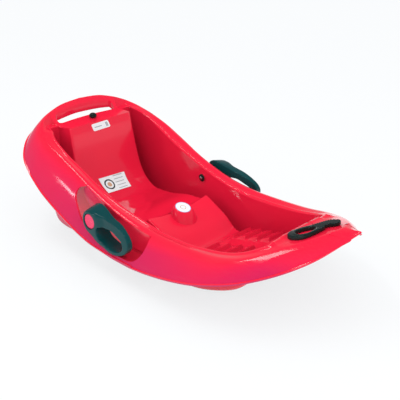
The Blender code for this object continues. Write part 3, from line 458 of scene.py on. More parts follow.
def cut_tool(name, outline, low, high, axis):
    """Prism over an outline, (x, y) points along Z or (x, z) points along Y."""
    bm = bmesh.new()
    if axis == "Z":
        face = bm.faces.new([bm.verts.new((a, b, low)) for a, b in outline])
        return swept(name, bm, [face], (0, 0, high - low))
    face = bm.faces.new([bm.verts.new((a, low, b)) for a, b in outline])
    return swept(name, bm, [face], (0, high - low, 0))


def combine(target, tool, operation):
    modifier = target.modifiers.new("combine", "BOOLEAN")
    modifier.operation = operation
    modifier.object = tool
    modifier.solver = "EXACT"
    finish_modifiers(target)
    bpy.data.objects.remove(tool, do_unlink=True)


def under_patch(name, first, last, ring_first, ring_last, drop, both_sides):
    """Closed solid under a stretch of the rim, starting inside the moulding's wall."""
    pick = np.where((rim_place >= first) & (rim_place <= last))[0]
    patch = rim_rings[ring_first:ring_last + 1][:, pick][::2]
    along = np.gradient(patch, axis=1)
    across = np.gradient(patch, axis=0)
    normal = np.cross(along, across)
    normal = normal / np.linalg.norm(normal, axis=2)[:, :, None]
    normal = normal * np.sign(normal[:, :, 2:3])
    patch = patch - normal * tub_wall / 2
    if both_sides:
        patch[:, 0, 1] = 0.0
        other = patch[:, :0:-1] * np.array([1, -1, 1])
        patch = np.concatenate([other, patch], axis=1)
    bm = bmesh.new()
    grid = [[bm.verts.new(p) for p in line] for line in patch]
    for upper, lower in zip(grid, grid[1:]):
        for b in range(len(upper) - 1):
            bm.faces.new((upper[b], upper[b + 1], lower[b + 1], lower[b]))
    return swept(name, bm, list(bm.faces), drop)


# Handle slot in the rear of the rim, with a flange turned down all round, as moulded
# in the same shot. The slot is bowed like the rim behind it.
slot_half_length = 0.097
slot_half_width = 0.0115
slot_x = -0.4390
slot_bow = 0.9
flange_depth = 0.017
flange_wall = 0.003
slot_tool_ends = (0.20, 0.36)
slot_steps = 24
slot_turn = 12


def slot_outline(grow):
    """The slot seen from above: a bowed side and a round end, and the same turned back."""
    half = slot_half_width + grow
    reach = slot_half_length - slot_half_width
    middle = slot_x + slot_bow * reach * reach
    points = []
    for way, turned in ((1, 0), (-1, pi)):
        for k in range(slot_steps + 1):
            y = way * (2 * reach * k / slot_steps - reach)
            points.append((slot_x + slot_bow * y * y + way * half, y))
        for k in range(1, slot_turn):
            a = turned + pi * k / slot_turn
            points.append((middle + half * cos(a), way * reach + half * sin(a)))
    return points


under_bar = under_patch("under_bar", 0, 2.9, 0, crest_ring + 3, (0, 0, -flange_depth), True)
flange = cut_tool("slot_flange", slot_outline(flange_wall), *slot_tool_ends, "Z")
combine(flange, under_bar, "INTERSECT")
combine(tub, flange, "UNION")
combine(tub, cut_tool("handle_slot", slot_outline(0), *slot_tool_ends, "Z"), "DIFFERENCE")

# Brake recesses: pockets moulded into the skirt, closed behind and at both ends and open
# above. Below, each has an opening with a sill across its front part and a slot beside
# the runner for the claw, and a strip of the skirt is left under it.
recess_wall = 0.185
recess_arc = (0.0125, 0.1045)
recess_radius = 0.037
recess_band = 0.0060
recess_opening = 0.2320
recess_open = (-0.090, -0.020)
recess_foot = -0.088
recess_low, recess_high = 0.02, 0.34
recess_out = 0.30
pivot_x, pivot_z = -0.1205, 0.125
claw_turn = radians(220)
claw_reach = (0.020, 0.133)
claw_side = 0.018
claw_front, claw_top = -0.1005, 0.105
claw_outer = 0.1922
sill_ends = (-0.054, 0.034)
sill_low, sill_top = 0.0605, 0.0632
sill_faces = (0.1805, 0.2420)
sill_back_top = 0.0690
sill_back_faces = (0.1815, recess_wall)
recess_edge = [
    (-0.1880, 0.1860), (-0.1970, 0.1790), (-0.2050, 0.1772), (-0.2100, 0.1730), (-0.2118, 0.1660),
    (-0.2110, 0.1585), (-0.2067, 0.1491), (-0.1983, 0.1378), (-0.1881, 0.1263), (-0.1778, 0.1153),
    (-0.1640, 0.1050), (-0.1480, 0.0980), (-0.1300, 0.0920), (-0.1120, 0.0840), (-0.0980, 0.0765)]
side_hem = (rim_place > 5) & (rim_place < 17)
hem_x = rim_rings[hem_ring][side_hem][:, 0]
hem_z = rim_rings[hem_ring][side_hem][:, 2]


def band_top(x):
    """Height of the strip of skirt under the recess."""
    return float(np.interp(x, hem_x, hem_z)) + recess_band


def pushed(points, grow):
    """The open outline moved sideways by the same amount all along."""
    moved = []
    for k, (x, z) in enumerate(points):
        before = points[max(k - 1, 0)]
        after = points[min(k + 1, len(points) - 1)]
        run, rise = after[0] - before[0], after[1] - before[1]
        length = sqrt(run * run + rise * rise)
        moved.append((x + grow * rise / length, z - grow * run / length))
    return moved


def recess_outline(grow):
    """Side view of the recess: open at the top, arched behind and round at the front."""
    cx, cz = recess_arc
    rear = flowing(range(len(recess_edge)), recess_edge, np.linspace(0, len(recess_edge) - 1, 34))
    points = [tuple(p) for p in rear]
    for k in range(24):
        x = recess_foot + (cx - recess_foot) * k / 23
        points.append((x, band_top(x)))
    low = points[-1][1]
    for k in range(1, 28):
        a = radians(-80 + 105 * k / 27)
        arc = (cx + recess_radius * cos(a), cz + recess_radius * sin(a))
        if arc[1] > low + 0.001:
            points.append(arc)
    points = pushed(points, -grow)
    return [(points[0][0], recess_high)] + points + [(points[-1][0], recess_high)]


def side_box(name, ends, low, tops, inner, outer):
    """Box across the recess, given by its ends and heights in the side view."""
    corners = [(ends[0], low), (ends[0], tops[0]), (ends[1], tops[1]), (ends[1], low)]
    return cut_tool(name, corners, inner, outer, "Y")


under_skirt = under_patch("under_skirt", 6.2, 15.4, crest_ring - 2, hem_ring, (0, -0.09, 0), False)
liner = cut_tool("recess_liner", recess_outline(tub_wall), recess_wall - tub_wall, recess_out, "Y")
combine(liner, under_skirt, "INTERSECT")
combine(tub, on_both_sides(liner), "UNION")
recess = cut_tool("brake_recess", recess_outline(0), recess_wall, recess_out, "Y")
open_tops = [band_top(x) + 0.002 for x in recess_open]
combine(recess, side_box("recess_opening", recess_open, recess_low, open_tops, recess_wall, recess_opening),
        "UNION")
claw_points = []
for reach in claw_reach:
    claw_points.append((pivot_x + reach * cos(claw_turn) + claw_side * sin(claw_turn),
                        pivot_z + reach * sin(claw_turn) - claw_side * cos(claw_turn)))
claw_points += [(claw_points[-1][0], 0.0), (claw_front, 0.0), (claw_front, claw_top)]
combine(recess, cut_tool("claw_slot", claw_points, recess_wall, claw_outer, "Y"), "UNION")
combine(tub, on_both_sides(recess), "DIFFERENCE")
sill = side_box("recess_sill", sill_ends, sill_low, [sill_top] * 2, *sill_faces)
combine(sill, side_box("sill_back", sill_ends, sill_low, [sill_back_top] * 2, *sill_back_faces), "UNION")
combine(tub, on_both_sides(sill), "UNION")

# Bosses of the same moulding: one behind each recess for the brake's axle, and one under
# the rope stud. Each is a rod joined to the tub, with a screw hole bored through it.
pivot_pad = 0.1475
pivot_boss_radius = 0.012
pivot_hole_radius = 0.0028
stud_x, stud_pad = -0.4000, 0.2670
stud_boss_deep = 0.016
stud_boss_radius = 0.0065
stud_hole_radius = 0.0023
stud_hole_ends = (0.237, 0.277)


def rod(start, end, radius, sides):
    """Cylinder between two points, as a tool."""
    start, end = Vector(start), Vector(end)
    bpy.ops.object.select_all(action="DESELECT")
    bpy.ops.mesh.primitive_cylinder_add(vertices=sides, radius=radius, depth=(end - start).length,
                                        location=(start + end) / 2,
                                        rotation=(end - start).to_track_quat("Z", "Y").to_euler())
    return bpy.context.object


def pivot_rod(side, inner, outer, radius, sides):
    """Cylinder along one brake's axis, between two distances from the sled's middle."""
    return rod((pivot_x, side * inner, pivot_z), (pivot_x, side * outer, pivot_z), radius, sides)


for side in (1, -1):
    combine(tub, pivot_rod(side, pivot_pad, recess_wall - tub_wall / 2, pivot_boss_radius, 48), "UNION")
    combine(tub, pivot_rod(side, pivot_pad - 0.02, recess_wall + 0.01, pivot_hole_radius, 24), "DIFFERENCE")
combine(tub, rod((stud_x, 0, stud_pad - stud_boss_deep), (stud_x, 0, stud_pad), stud_boss_radius, 32),
        "UNION")
combine(tub, rod((stud_x, 0, stud_hole_ends[0]), (stud_x, 0, stud_hole_ends[1]), stud_hole_radius, 16),
        "DIFFERENCE")
smoothed(tub, 32)

# The tub's red is glossy with fine scratches. Outside, the skirt gets a painted sheen: a pinker colour on
# its outward faces that stands in for a bluish reflection there. What the red throws on to its neighbours is
# kept pale.
painted_skirt_sheen = (0.520, 0.009, 0.090, 1)
bounced_red = (0.42, 0.24, 0.25, 1)
skirt_flatness = (0.45, 1.0, 0.0)
rim_oval = (1 / 0.46, 1 / 0.19, 0.0)


def colour_mix(tree, share, first, second):
    """Mixed colour's socket; each input is a value or another node's socket."""
    node = tree.nodes.new("ShaderNodeMix")
    node.data_type = "RGBA"
    feed(node, {0: share, 6: first, 7: second})
    return node.outputs[2]


def moulded_plastic(name, colour, worn, gloss, grain, relief, finish=None):
    """Principled plastic: clouded colour, uneven gloss, fine orange peel and light scratches."""
    material = bpy.data.materials.new(name)
    material.use_nodes = True
    tree = material.node_tree
    place = add_node(tree, "TexCoord", output="Object")
    clouds = add_node(tree, "TexNoise", {"Vector": place, "Scale": 9.0, "Detail": 3.0})
    fade = add_node(tree, "MapRange", {"Value": clouds, "From Min": 0.40, "From Max": 0.75, "To Max": 0.6})
    tint = colour_mix(tree, fade, (*colour, 1), (*worn, 1))
    stretch = add_node(tree, "Mapping", {"Vector": place, "Scale": (12.0, 150.0, 150.0)})
    scratches = add_node(tree, "TexNoise", {"Vector": stretch, "Scale": 1.6, "Detail": 2.0})
    dull = add_node(tree, "MapRange", {"Value": scratches, "From Min": 0.45, "From Max": 0.80,
                                       "To Min": gloss[0], "To Max": gloss[1]})
    peel = add_node(tree, "TexNoise", {"Vector": place, "Scale": grain, "Detail": 2.0})
    bump = add_node(tree, "Bump", {"Height": peel, "Strength": relief, "Distance": 0.0004})
    feed(tree.nodes["Principled BSDF"], {"IOR": 1.5, "Base Color": tint, "Normal": bump, "Roughness": dull,
                                         **(finish or {})})
    return material


red_plastic = moulded_plastic("red_tub_plastic", (0.860, 0.011, 0.043), (0.810, 0.011, 0.046),
                              (0.10, 0.24), 260.0, 0.03, {"Specular IOR Level": 0.26,
                              "Coat Weight": 0.45, "Coat Roughness": 0.07})
tree = red_plastic.node_tree
red_shader = tree.nodes["Principled BSDF"]
tint = red_shader.inputs["Base Color"].links[0].from_socket
place = tree.nodes["Texture Coordinate"].outputs["Object"]
# Painted sheen: faces turned outward beyond the rim's oval get the pinker colour, in place of a reflected
# bluish light.
flat_place = add_node(tree, "VectorMath", {0: place, 1: skirt_flatness}, "MULTIPLY")
outward = add_node(tree, "VectorMath", {0: flat_place}, "NORMALIZE")
facing = add_node(tree, "NewGeometry", output="Normal")
turned_out = add_node(tree, "VectorMath", {0: facing, 1: outward}, "DOT_PRODUCT", "Value")
sheen_facing_share = add_node(tree, "MapRange", {"Value": turned_out, "From Min": 0.35, "From Max": 0.95})
inside_line = add_node(tree, "VectorMath", {0: place, 1: rim_oval}, "MULTIPLY")
from_middle = add_node(tree, "VectorMath", {0: inside_line}, "LENGTH", "Value")
outside = add_node(tree, "MapRange", {"Value": from_middle, "From Min": 0.98, "From Max": 1.12})
painted_sheen_share = add_node(tree, "Math", {0: sheen_facing_share, 1: outside}, "MULTIPLY")
tint_with_painted_sheen = colour_mix(tree, painted_sheen_share, tint, painted_skirt_sheen)
light_bounce = add_node(tree, "LightPath", output="Is Diffuse Ray")
feed(red_shader, {"Base Color": colour_mix(tree, light_bounce, tint_with_painted_sheen, bounced_red)})
tub.data.materials.clear()
tub.data.materials.append(red_plastic)
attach(tub, "tub")
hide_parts("tub_shell")

# Pommel: a stub of the same moulding on the block between the rider's legs, with a flat
# round top that leans forward, a steep rear and a front that flares down to the block.
pommel_top = Vector((-0.042, 0, 0.110))
pommel_lean = radians(18)
# drop under the top, radius, shift forward
pommel_profile = [(0.0, 0.0212, 0.0), (0.0004, 0.0224, 0.0), (0.0012, 0.0233, 0.0), (0.0026, 0.0246, 0.0010),
                  (0.0070, 0.0276, 0.0035), (0.0130, 0.0304, 0.0070), (0.0200, 0.0332, 0.0105),
                  (0.0260, 0.0358, 0.0135), (0.0310, 0.0388, 0.0150), (0.0350, 0.0430, 0.0160),
                  (0.0390, 0.0490, 0.0165)]
pommel_place = Matrix.Translation(pommel_top) @ Matrix.Rotation(pommel_lean, 4, "Y")


def ring_of(bm, radius, height, steps, shift=0.0):
    """Loop of vertices round the Z axis; a radius of 0 gives the one in the middle."""
    if radius == 0:
        return [bm.verts.new((shift, 0, height))]
    turns = [2 * pi * k / steps for k in range(steps)]
    return [bm.verts.new((shift + radius * cos(a), radius * sin(a), height)) for a in turns]


def skin_over(bm, loops):
    """Bands of faces, one from each loop to the next; a loop may be a single vertex."""
    bands = []
    for upper, lower in zip(loops, loops[1:]):
        steps = max(len(upper), len(lower))
        band = []
        for k in range(steps):
            after = (k + 1) % steps
            corners = [upper[k % len(upper)], lower[k % len(lower)]]
            if len(lower) > 1:
                corners.append(lower[after])
            if len(upper) > 1:
                corners.append(upper[after])
            band.append(bm.faces.new(corners))
        bands.append(band)
    return bands


bm = bmesh.new()
loops = [ring_of(bm, radius, -drop, 96, shift) for drop, radius, shift in pommel_profile]
bm.faces.new(loops[0])
skin_over(bm, loops)
bm.faces.new(loops[-1][::-1])
pommel = as_object("pommel", bm, place=pommel_place)
pommel.data.materials.append(red_plastic)
smoothed(pommel, 32)
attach(pommel, "tub")

# Turned pieces: the red axles with their wide heads, the black rosettes inside the tub
# and the screws through them. Each is a lathe profile put straight at its place.
seat_gap = 0.0003
hub_face = 0.2400
axle_set = 0.0005
axle_foot = recess_wall + seat_gap
axle_length = hub_face - axle_set - axle_foot
# radius, drop below the head's face
axle_head = [(0, 0.0022), (0.0140, 0.0020), (0.0166, 0.0016), (0.0178, 0.0018), (0.0185, 0.0025),
             (0.0186, 0.0042), (0.0100, 0.0042)]
rosette_thick = 0.0030
rosette_seat = pivot_pad - seat_gap - rosette_thick
screw_seat = rosette_seat - seat_gap
screw_reach = 0.066
screw_run_out = 0.0017
black_plastic = moulded_plastic("black_plastic", (0.004, 0.012, 0.011), (0.008, 0.018, 0.017),
                                (0.12, 0.32), 700.0, 0.15, {"Specular IOR Level": 0.25})
axle_plastic = moulded_plastic("red_axle_plastic", (0.800, 0.012, 0.100), (0.740, 0.014, 0.100),
                               (0.20, 0.36), 500.0, 0.15)
zinc = moulded_plastic("zinc_plated_steel", (0.52, 0.53, 0.55), (0.40, 0.40, 0.41), (0.22, 0.50),
                       900.0, 0.2, {"Metallic": 1.0})


def aimed(base, direction):
    """Matrix that stands a shape on base, with its Z axis along the direction."""
    turn = Vector(direction).to_track_quat("Z", "Y").to_matrix().to_4x4()
    return Matrix.Translation(Vector(base)) @ turn


def lathe(name, profile, base, direction, material, steps=64):
    """Solid of revolution; the profile gives (radius, height) down its outer side."""
    bm = bmesh.new()
    skin_over(bm, [ring_of(bm, radius, height, steps) for radius, height in profile])
    thing = as_object(name, bm, place=aimed(base, direction))
    thing.data.materials.append(material)
    smoothed(thing, 38)
    return thing


def domed_screw(name, base, direction, shank, tip, taper, reach):
    """Screw whose domed head sits on base and whose shank goes on, with a cross pressed in."""
    head = 0.0030
    screw = lathe(name, [
        (0, -head), (0.0022, -0.0029), (0.0036, -0.0024), (0.0043, -0.0014), (0.0045, 0),
        (shank, 0), (shank, reach - taper), (tip, reach), (0, reach)], base, direction, zinc, 40)
    for width, depth in ((0.0046, 0.0010), (0.0010, 0.0046)):
        bpy.ops.object.select_all(action="DESELECT")
        bpy.ops.mesh.primitive_cube_add(size=1.0)
        slot = bpy.context.object
        shape = Matrix.Diagonal((width, depth, 0.0032, 1.0))
        slot.data.transform(aimed(Vector(base) - Vector(direction) * head, direction) @ shape)
        combine(screw, slot, "DIFFERENCE")
    smoothed(screw, 38)
    return screw


for side, word in ((1, "left"), (-1, "right")):
    depth = screw_seat + screw_reach + screw_run_out - axle_foot
    axle = lathe("axle_" + word, [(radius, axle_length - drop) for radius, drop in axle_head] + [
        (0.0100, 0), (0.0028, 0), (0.0028, depth), (0, depth)],
        (pivot_x, side * axle_foot, pivot_z), (0, side, 0), axle_plastic, 96)
    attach(axle, "tub")
    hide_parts("pivot_axle_" + word)

for side, word in ((1, "left"), (-1, "right")):
    rosette = lathe("rosette_" + word, [
        (0.0028, 0), (0.0060, 0), (0.0086, 0.0004), (0.0100, 0.0014), (0.0104, 0.0024),
        (0.0104, rosette_thick), (0.0028, rosette_thick), (0.0028, 0)],
        (pivot_x, side * rosette_seat, pivot_z), (0, side, 0), black_plastic)
    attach(rosette, "tub")
    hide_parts("pivot_rosette_" + word)
    screw = domed_screw("axle_screw_" + word, (pivot_x, side * screw_seat, pivot_z), (0, side, 0),
                        0.0025, 0.0012, 0.002, screw_reach)
    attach(screw, "tub")
    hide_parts("pivot_screw_" + word)

# Rope stud behind the backrest: a black domed knob on a short neck, held by a screw and
# a washer from below. The rope's loop would hang on its neck.
stud = lathe("stud_knob", [
    (0, 0.0135), (0.0022, 0.01335), (0.0044, 0.0128), (0.0064, 0.0119), (0.0082, 0.0105), (0.0096, 0.0087),
    (0.0103, 0.0066), (0.0105, 0.0046), (0.0102, 0.0034), (0.0094, 0.0028), (0.0072, 0.0024),
    (0.0066, 0.0019), (0.0065, 0.0), (0.0023, 0), (0.0023, 0.0055), (0, 0.0055)],
    (stud_x, 0, stud_pad + seat_gap), (0, 0, 1), black_plastic, 96)
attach(stud, "tub")
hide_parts("rope_stud")
washer_top = stud_pad - stud_boss_deep - seat_gap
washer_thick = 0.001
washer = lathe("knob_washer", [
    (0.0023, washer_thick), (0.0062, washer_thick), (0.0065, 0.0007), (0.0065, 0.0003), (0.0062, 0),
    (0.0023, 0), (0.0023, washer_thick)], (stud_x, 0, washer_top - washer_thick), (0, 0, 1), zinc)
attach(washer, "tub")
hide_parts("stud_washer")
screw = domed_screw("knob_screw", (stud_x, 0, washer_top - washer_thick - seat_gap), (0, 0, 1),
                    0.0020, 0.0010, 0.0015, 0.0220)
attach(screw, "tub")
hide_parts("stud_screw")

# Brake levers: two mirrored mouldings of dark plastic, a hub and a bowed grip with a hand
# opening. The outline gets its thickness and rounding and is sliced for an even mesh. Then
# the face leans in at its top, the hub is crowned toward the tub, and the back is cored out.
lever_outline = [
    (-0.0245, 0.0120), (-0.0265, -0.0060), (-0.0150, -0.0250), (0.0075, -0.0360), (0.0275, -0.0470),
    (0.0525, -0.0530), (0.0725, -0.0580), (0.0920, -0.0575), (0.1140, -0.0510), (0.1310, -0.0380),
    (0.1375, -0.0215), (0.1320, -0.0065), (0.1170, 0.0045), (0.0980, 0.0120), (0.0800, 0.0170),
    (0.0600, 0.0200), (0.0400, 0.0225), (0.0150, 0.0250), (-0.0060, 0.0245), (-0.0180, 0.0195)]
lever_opening = [
    (0.0260, -0.012), (0.0390, -0.004), (0.0560, -0.002), (0.0760, -0.002), (0.0980, -0.009),
    (0.1150, -0.019), (0.1190, -0.032), (0.1080, -0.043), (0.0800, -0.048), (0.0550, -0.043),
    (0.0340, -0.034)]
grip_tuck = 0.0030
lever_inner = 0.1980
lever_waist = 0.2090
lever_lean = 0.0100
lever_crown = 0.0110
lever_edge = 0.0030
core_wall = 0.0035
core_ends = (-0.12, 0.45)
lever_half = 0.0175
hub_radius = 0.0185
hub_inner, hub_outer = 0.190, 0.2385
axle_hole_radius = 0.0103
axle_hole_ends = (0.170, 0.270)
head_seat_radius = 0.0200
head_seat_deep = 0.0055
lever_plastic = moulded_plastic("anthracite_lever_plastic", (0.003, 0.046, 0.050), (0.008, 0.066, 0.070),
                                (0.10, 0.26), 900.0, 0.20, {"Specular IOR Level": 0.22})


def outline_solid(name, loops, half, rounding, smoothness, inset=0.0):
    """Mesh of a flat outline with holes, given thickness and rounded edges."""
    curve = bpy.data.curves.new(name, "CURVE")
    curve.dimensions = "2D"
    curve.fill_mode = "BOTH"
    curve.extrude = half - rounding
    curve.bevel_depth = rounding
    curve.bevel_resolution = smoothness
    curve.offset = -rounding - inset
    curve.resolution_u = 9
    for loop in loops:
        spline = curve.splines.new("BEZIER")
        spline.bezier_points.add(len(loop) - 1)
        for knot, (a, b) in zip(spline.bezier_points, loop):
            knot.co = (a, b, 0)
            knot.handle_left_type = "AUTO"
            knot.handle_right_type = "AUTO"
        spline.use_cyclic_u = True
    guide_curve = bpy.data.objects.new(name, curve)
    bpy.context.scene.collection.objects.link(guide_curve)
    bpy.context.view_layer.update()
    mesh = bpy.data.meshes.new_from_object(guide_curve.evaluated_get(bpy.context.evaluated_depsgraph_get()))
    bpy.data.objects.remove(guide_curve, do_unlink=True)
    bm = bmesh.new()
    bm.from_mesh(mesh)
    bmesh.ops.remove_doubles(bm, verts=bm.verts, dist=0.00002)
    return bm


def sliced(bm, axis, places):
    """Cuts the mesh along planes, so that it can be bent evenly."""
    normal = Vector((axis == 0, axis == 1, axis == 2))
    for place in places:
        bmesh.ops.bisect_plane(bm, geom=bm.verts[:] + bm.edges[:] + bm.faces[:], dist=0.00001,
                               plane_co=normal * place, plane_no=normal)


def bent_lever(bm, side, name, first=0.0, last=1.0):
    """Puts the flat form at its place on one side; first and last are shares of its depth."""
    for vertex in bm.verts:
        a, b, c = vertex.co
        tip = ramp(a, 0.080, 0.140)
        hub = ramp(sqrt(a * a + b * b), 0.050, 0.024)
        waist = ramp(a, 0, 0.080)
        lean = lever_lean * ramp(b, -0.035, 0.020) * (1 - 0.85 * hub)
        face = hub_face - lean - tip * grip_tuck
        inner = lever_inner + waist * (lever_waist - lever_inner) + 0.0100 * tip
        inner -= 0.011 * waist * ramp(a, 0.105, 0.070) * ramp(b, -0.012, -0.032)
        depth = first + (c + lever_half) / (2 * lever_half) * (last - first)
        y = inner + depth * (face - inner)
        crown = lever_crown * (1 - min(max(depth, 0), 1))**0.7 * ramp(a, 0.070, 0)
        b += crown * ramp(b, -0.005, 0.020)
        vertex.co = (pivot_x + a, side * y, pivot_z + b)
    return as_object(name, bm)


for side, word in ((1, "left"), (-1, "right")):
    bm = outline_solid("lever_" + word, [lever_outline, lever_opening], lever_half, lever_edge, 3)
    sliced(bm, 0, np.linspace(-0.022, 0.140, 34))
    sliced(bm, 1, np.linspace(-0.055, 0.024, 17))
    sliced(bm, 2, (-0.010, -0.004, 0.004, 0.010))
    lever = bent_lever(bm, side, "lever_" + word)
    lever.data.materials.append(lever_plastic)
    bm = outline_solid("lever_core", [lever_outline, lever_opening], lever_half, 0.0008, 1, core_wall)
    sliced(bm, 0, np.linspace(-0.015, 0.130, 20))
    sliced(bm, 1, np.linspace(-0.050, 0.018, 9))
    combine(lever, bent_lever(bm, side, "lever_core", *core_ends), "DIFFERENCE")
    combine(lever, pivot_rod(side, hub_inner, hub_outer, hub_radius, 96), "UNION")
    combine(lever, pivot_rod(side, *axle_hole_ends, axle_hole_radius, 64), "DIFFERENCE")
    head_seat = pivot_rod(side, hub_face - head_seat_deep, axle_hole_ends[1], head_seat_radius, 96)
    combine(lever, head_seat, "DIFFERENCE")
    smoothed(lever, 38)
    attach(lever, "lever_" + word)
    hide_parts("brake_lever_" + word)

# Claws and their countersunk screws keep the shapes of the solids, as they are plates
# and fasteners with nothing to add. They get a bright zinc finish with dull patches.


def in_zinc(node):
    solid = bpy.data.objects[node]
    solid.data.materials.clear()
    solid.data.materials.append(zinc)


for word in ("left", "right"):
    for node in ("brake_claw_" + word, "claw_screw_" + word + "_front", "claw_screw_" + word + "_rear"):
        in_zinc(node)

# Rope holder on the nose deck: a black moulding with a wide eye at the near end, a ribbed
# tongue at the far end and a notch in its front edge. It is laid on the deck that the
# tub really has, point by point, with a hair's gap.
holder_centre = (0.374, -0.008)
holder_turn = radians(-27)
holder_thick = 0.0088
holder_gap = 0.0004
holder_edge = 0.0024
holder_rib_step = 0.0052
holder_rib_start = -0.062
holder_rib_height = 0.0016
holder_eye_lip = 0.0010
holder_outline = [
    (0.0000, -0.0640), (-0.0090, -0.0560), (-0.0130, -0.0400), (-0.0130, -0.0230), (-0.0090, -0.0060),
    (-0.0080, 0.0100), (-0.0090, 0.0240), (-0.0070, 0.0400), (0.0040, 0.0500), (0.0200, 0.0500),
    (0.0310, 0.0420), (0.0330, 0.0310), (0.0250, 0.0220), (0.0250, 0.0130), (0.0320, 0.0060),
    (0.0370, -0.0080), (0.0410, -0.0220), (0.0420, -0.0360), (0.0380, -0.0500), (0.0280, -0.0600),
    (0.0140, -0.0660)]
holder_eye = [
    (0.0020, -0.0440), (0.0000, -0.0300), (0.0030, -0.0150), (0.0120, -0.0060), (0.0220, -0.0100),
    (0.0290, -0.0220), (0.0300, -0.0370), (0.0240, -0.0470), (0.0120, -0.0500)]
deck_tree = BVHTree.FromObject(tub, bpy.context.evaluated_depsgraph_get())
half = holder_thick / 2
bm = outline_solid("rope_cleat", [holder_outline, holder_eye], half, holder_edge, 3)
sliced(bm, 0, np.linspace(-0.010, 0.040, 14))
sliced(bm, 1, np.arange(holder_rib_start, 0.0480, holder_rib_step / 4))
sliced(bm, 2, (-0.0015, 0.0015))
turn_cos, turn_sin = cos(holder_turn), sin(holder_turn)
for vertex in bm.verts:
    a, b, c = vertex.co
    x = holder_centre[0] + a * turn_cos - b * turn_sin
    y = holder_centre[1] + a * turn_sin + b * turn_cos
    deck = deck_tree.ray_cast(Vector((x, y, 0.40)), Vector((0, 0, -1)))[0].z
    z = deck + holder_gap + c + half
    if c > half - holder_edge / 2:
        phase = (b - holder_rib_start) / holder_rib_step % 1.0
        ribbed = ramp(b, -0.010, -0.004)
        z += ribbed * holder_rib_height * (0.5 - abs(2 * phase - 1))
        from_eye = abs(sqrt((a - 0.014)**2 + ((b + 0.028) * 0.85)**2) - 0.022)
        z += holder_eye_lip * (1 - ribbed) * ramp(from_eye * 6, 0.026, 0)
    vertex.co = (x, y, z)
holder = as_object("rope_cleat", bm)
holder.data.materials.append(black_plastic)
smoothed(holder, 32)
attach(holder, "tub")
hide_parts("rope_holder")
for word in ("right", "left"):
    in_zinc("rope_holder_screw_" + word)

# Stickers: a plain white label on the bend of the backrest, a small one at its top, and
# a round one on the pommel. Each is a thin film laid on the moulding, in small cells that
# take one of a few printing colours.
label_mm = (84, 48)
label_border = 0.7
label_ring = (11.5, 15.5)
label_middle = 6.5
film_lifts = (0.00025, 0.00050)
print_colours = {
    "sticker_white": (0.86, 0.87, 0.88), "sticker_ink": (0.030, 0.032, 0.036),
    "sticker_grey": (0.42, 0.44, 0.46), "sticker_tan": (0.62, 0.36, 0.22),
    "sticker_blue": (0.34, 0.40, 0.72)}
inks = {}
for name, colour in print_colours.items():
    inks[name] = moulded_plastic(name, colour, tuple(0.94 * v for v in colour), (0.22, 0.42), 800.0, 0.10)
ink_order = list(print_colours)


def label_print(u, v):
    """Plain dark ring with a tan middle at one end of the label, grey bars at the other."""
    wide, tall = label_mm
    radius = sqrt((u * wide - 23)**2 + (v * tall - tall / 2)**2)
    if min(u * wide, (1 - u) * wide, v * tall, (1 - v) * tall) < label_border:
        return "sticker_grey"
    if label_ring[0] < radius < label_ring[1]:
        return "sticker_ink"
    if radius < label_middle:
        return "sticker_tan"
    row = int(v * 10)
    if 0.52 < u < 0.88 and row % 2 == 1 and v * 10 - row < 0.45:
        return "sticker_grey"
    return "sticker_white"


def strip_print(u, v):
    """Plain grey bar at one end of the strip and a grey block at the other."""
    bar = 0.12 < u < 0.55 and 0.42 < v < 0.56
    block = 0.78 < u < 0.92 and 0.20 < v < 0.80
    return "sticker_grey" if bar or block else "sticker_white"


def disc_print(radius):
    """Plain blue edge and a thin tan ring."""
    if radius > 0.0190:
        return "sticker_blue"
    return "sticker_tan" if 0.0070 < radius < 0.0090 else "sticker_white"


def as_sticker(name, bm, place=None):
    thing = as_object(name, bm, place=place)
    for ink in ink_order:
        thing.data.materials.append(inks[ink])
    smoothed(thing, 40)
    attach(thing, "tub")


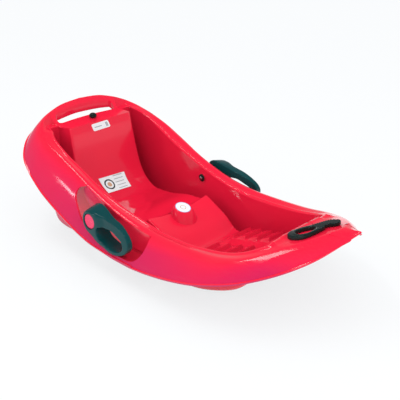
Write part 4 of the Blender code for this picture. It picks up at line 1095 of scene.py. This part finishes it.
def film(name, corners, cells, corner_round, printed):
    """Thin film over a four-cornered patch of the tub, given from its first corner round."""
    one, two, three, four = [Vector(corner) for corner in corners]
    bm = bmesh.new()
    made = []
    for i in range(cells[0] + 1):
        u = i / cells[0]
        line = []
        for j in range(cells[1] + 1):
            v = j / cells[1]
            spot = one * (1 - u) * (1 - v) + two * u * (1 - v) + three * u * v + four * (1 - u) * v
            spot, normal = deck_tree.find_nearest(spot)[:2]
            line.append([bm.verts.new(spot + normal * lift) for lift in film_lifts])
        made.append(line)
    wide = (two - one).length
    tall = (four - one).length
    for i in range(cells[0]):
        for j in range(cells[1]):
            u, v = (i + 0.5) / cells[0], (j + 0.5) / cells[1]
            off_x = max(corner_round - min(u, 1 - u) * wide, 0)
            off_y = max(corner_round - min(v, 1 - v) * tall, 0)
            if off_x**2 + off_y**2 > corner_round**2:
                continue
            square = [made[i][j], made[i + 1][j], made[i + 1][j + 1], made[i][j + 1]]
            top = bm.faces.new([q[1] for q in square])
            bm.faces.new([q[0] for q in square[::-1]])
            top.material_index = ink_order.index(printed(u, v))
    under = {q[1]: q[0] for line in made for q in line}
    for e in [e for e in bm.edges if e.is_boundary]:
        a, b = e.verts
        if a in under and b in under:
            bm.faces.new((a, b, under[b], under[a]))
    bmesh.ops.delete(bm, geom=[q for q in bm.verts if not q.link_faces], context="VERTS")
    as_sticker(name, bm)


film("backrest_label", [(-0.2946, -0.0410, 0.0834), (-0.2916, 0.0384, 0.0816), (-0.3246, 0.0404, 0.1158),
                        (-0.3264, -0.0493, 0.1191)], (140, 80), 0.0010, label_print)
film("backrest_strip", [(-0.3601, -0.0292, 0.2430), (-0.3604, 0.0285, 0.2442), (-0.3642, 0.0223, 0.2640),
                        (-0.3640, -0.0350, 0.2630)], (100, 36), 0.0045, strip_print)

disc_rings = [0.0, 0.0016, 0.0032, 0.0048, 0.0064, 0.0080, 0.0096, 0.0112, 0.0128, 0.0144, 0.0160, 0.0174,
              0.0188, 0.0196, 0.0204]
disc_low, disc_top = 0.00025, 0.00055
bm = bmesh.new()
loops = [ring_of(bm, radius, disc_top, 96) for radius in disc_rings]
loops += [ring_of(bm, radius, disc_low, 96) for radius in disc_rings[::-1]]
for radius, band in zip(disc_rings[1:], skin_over(bm, loops)):
    for face in band:
        face.material_index = ink_order.index(disc_print(radius))
as_sticker("pommel_disc", bm, pommel_place)
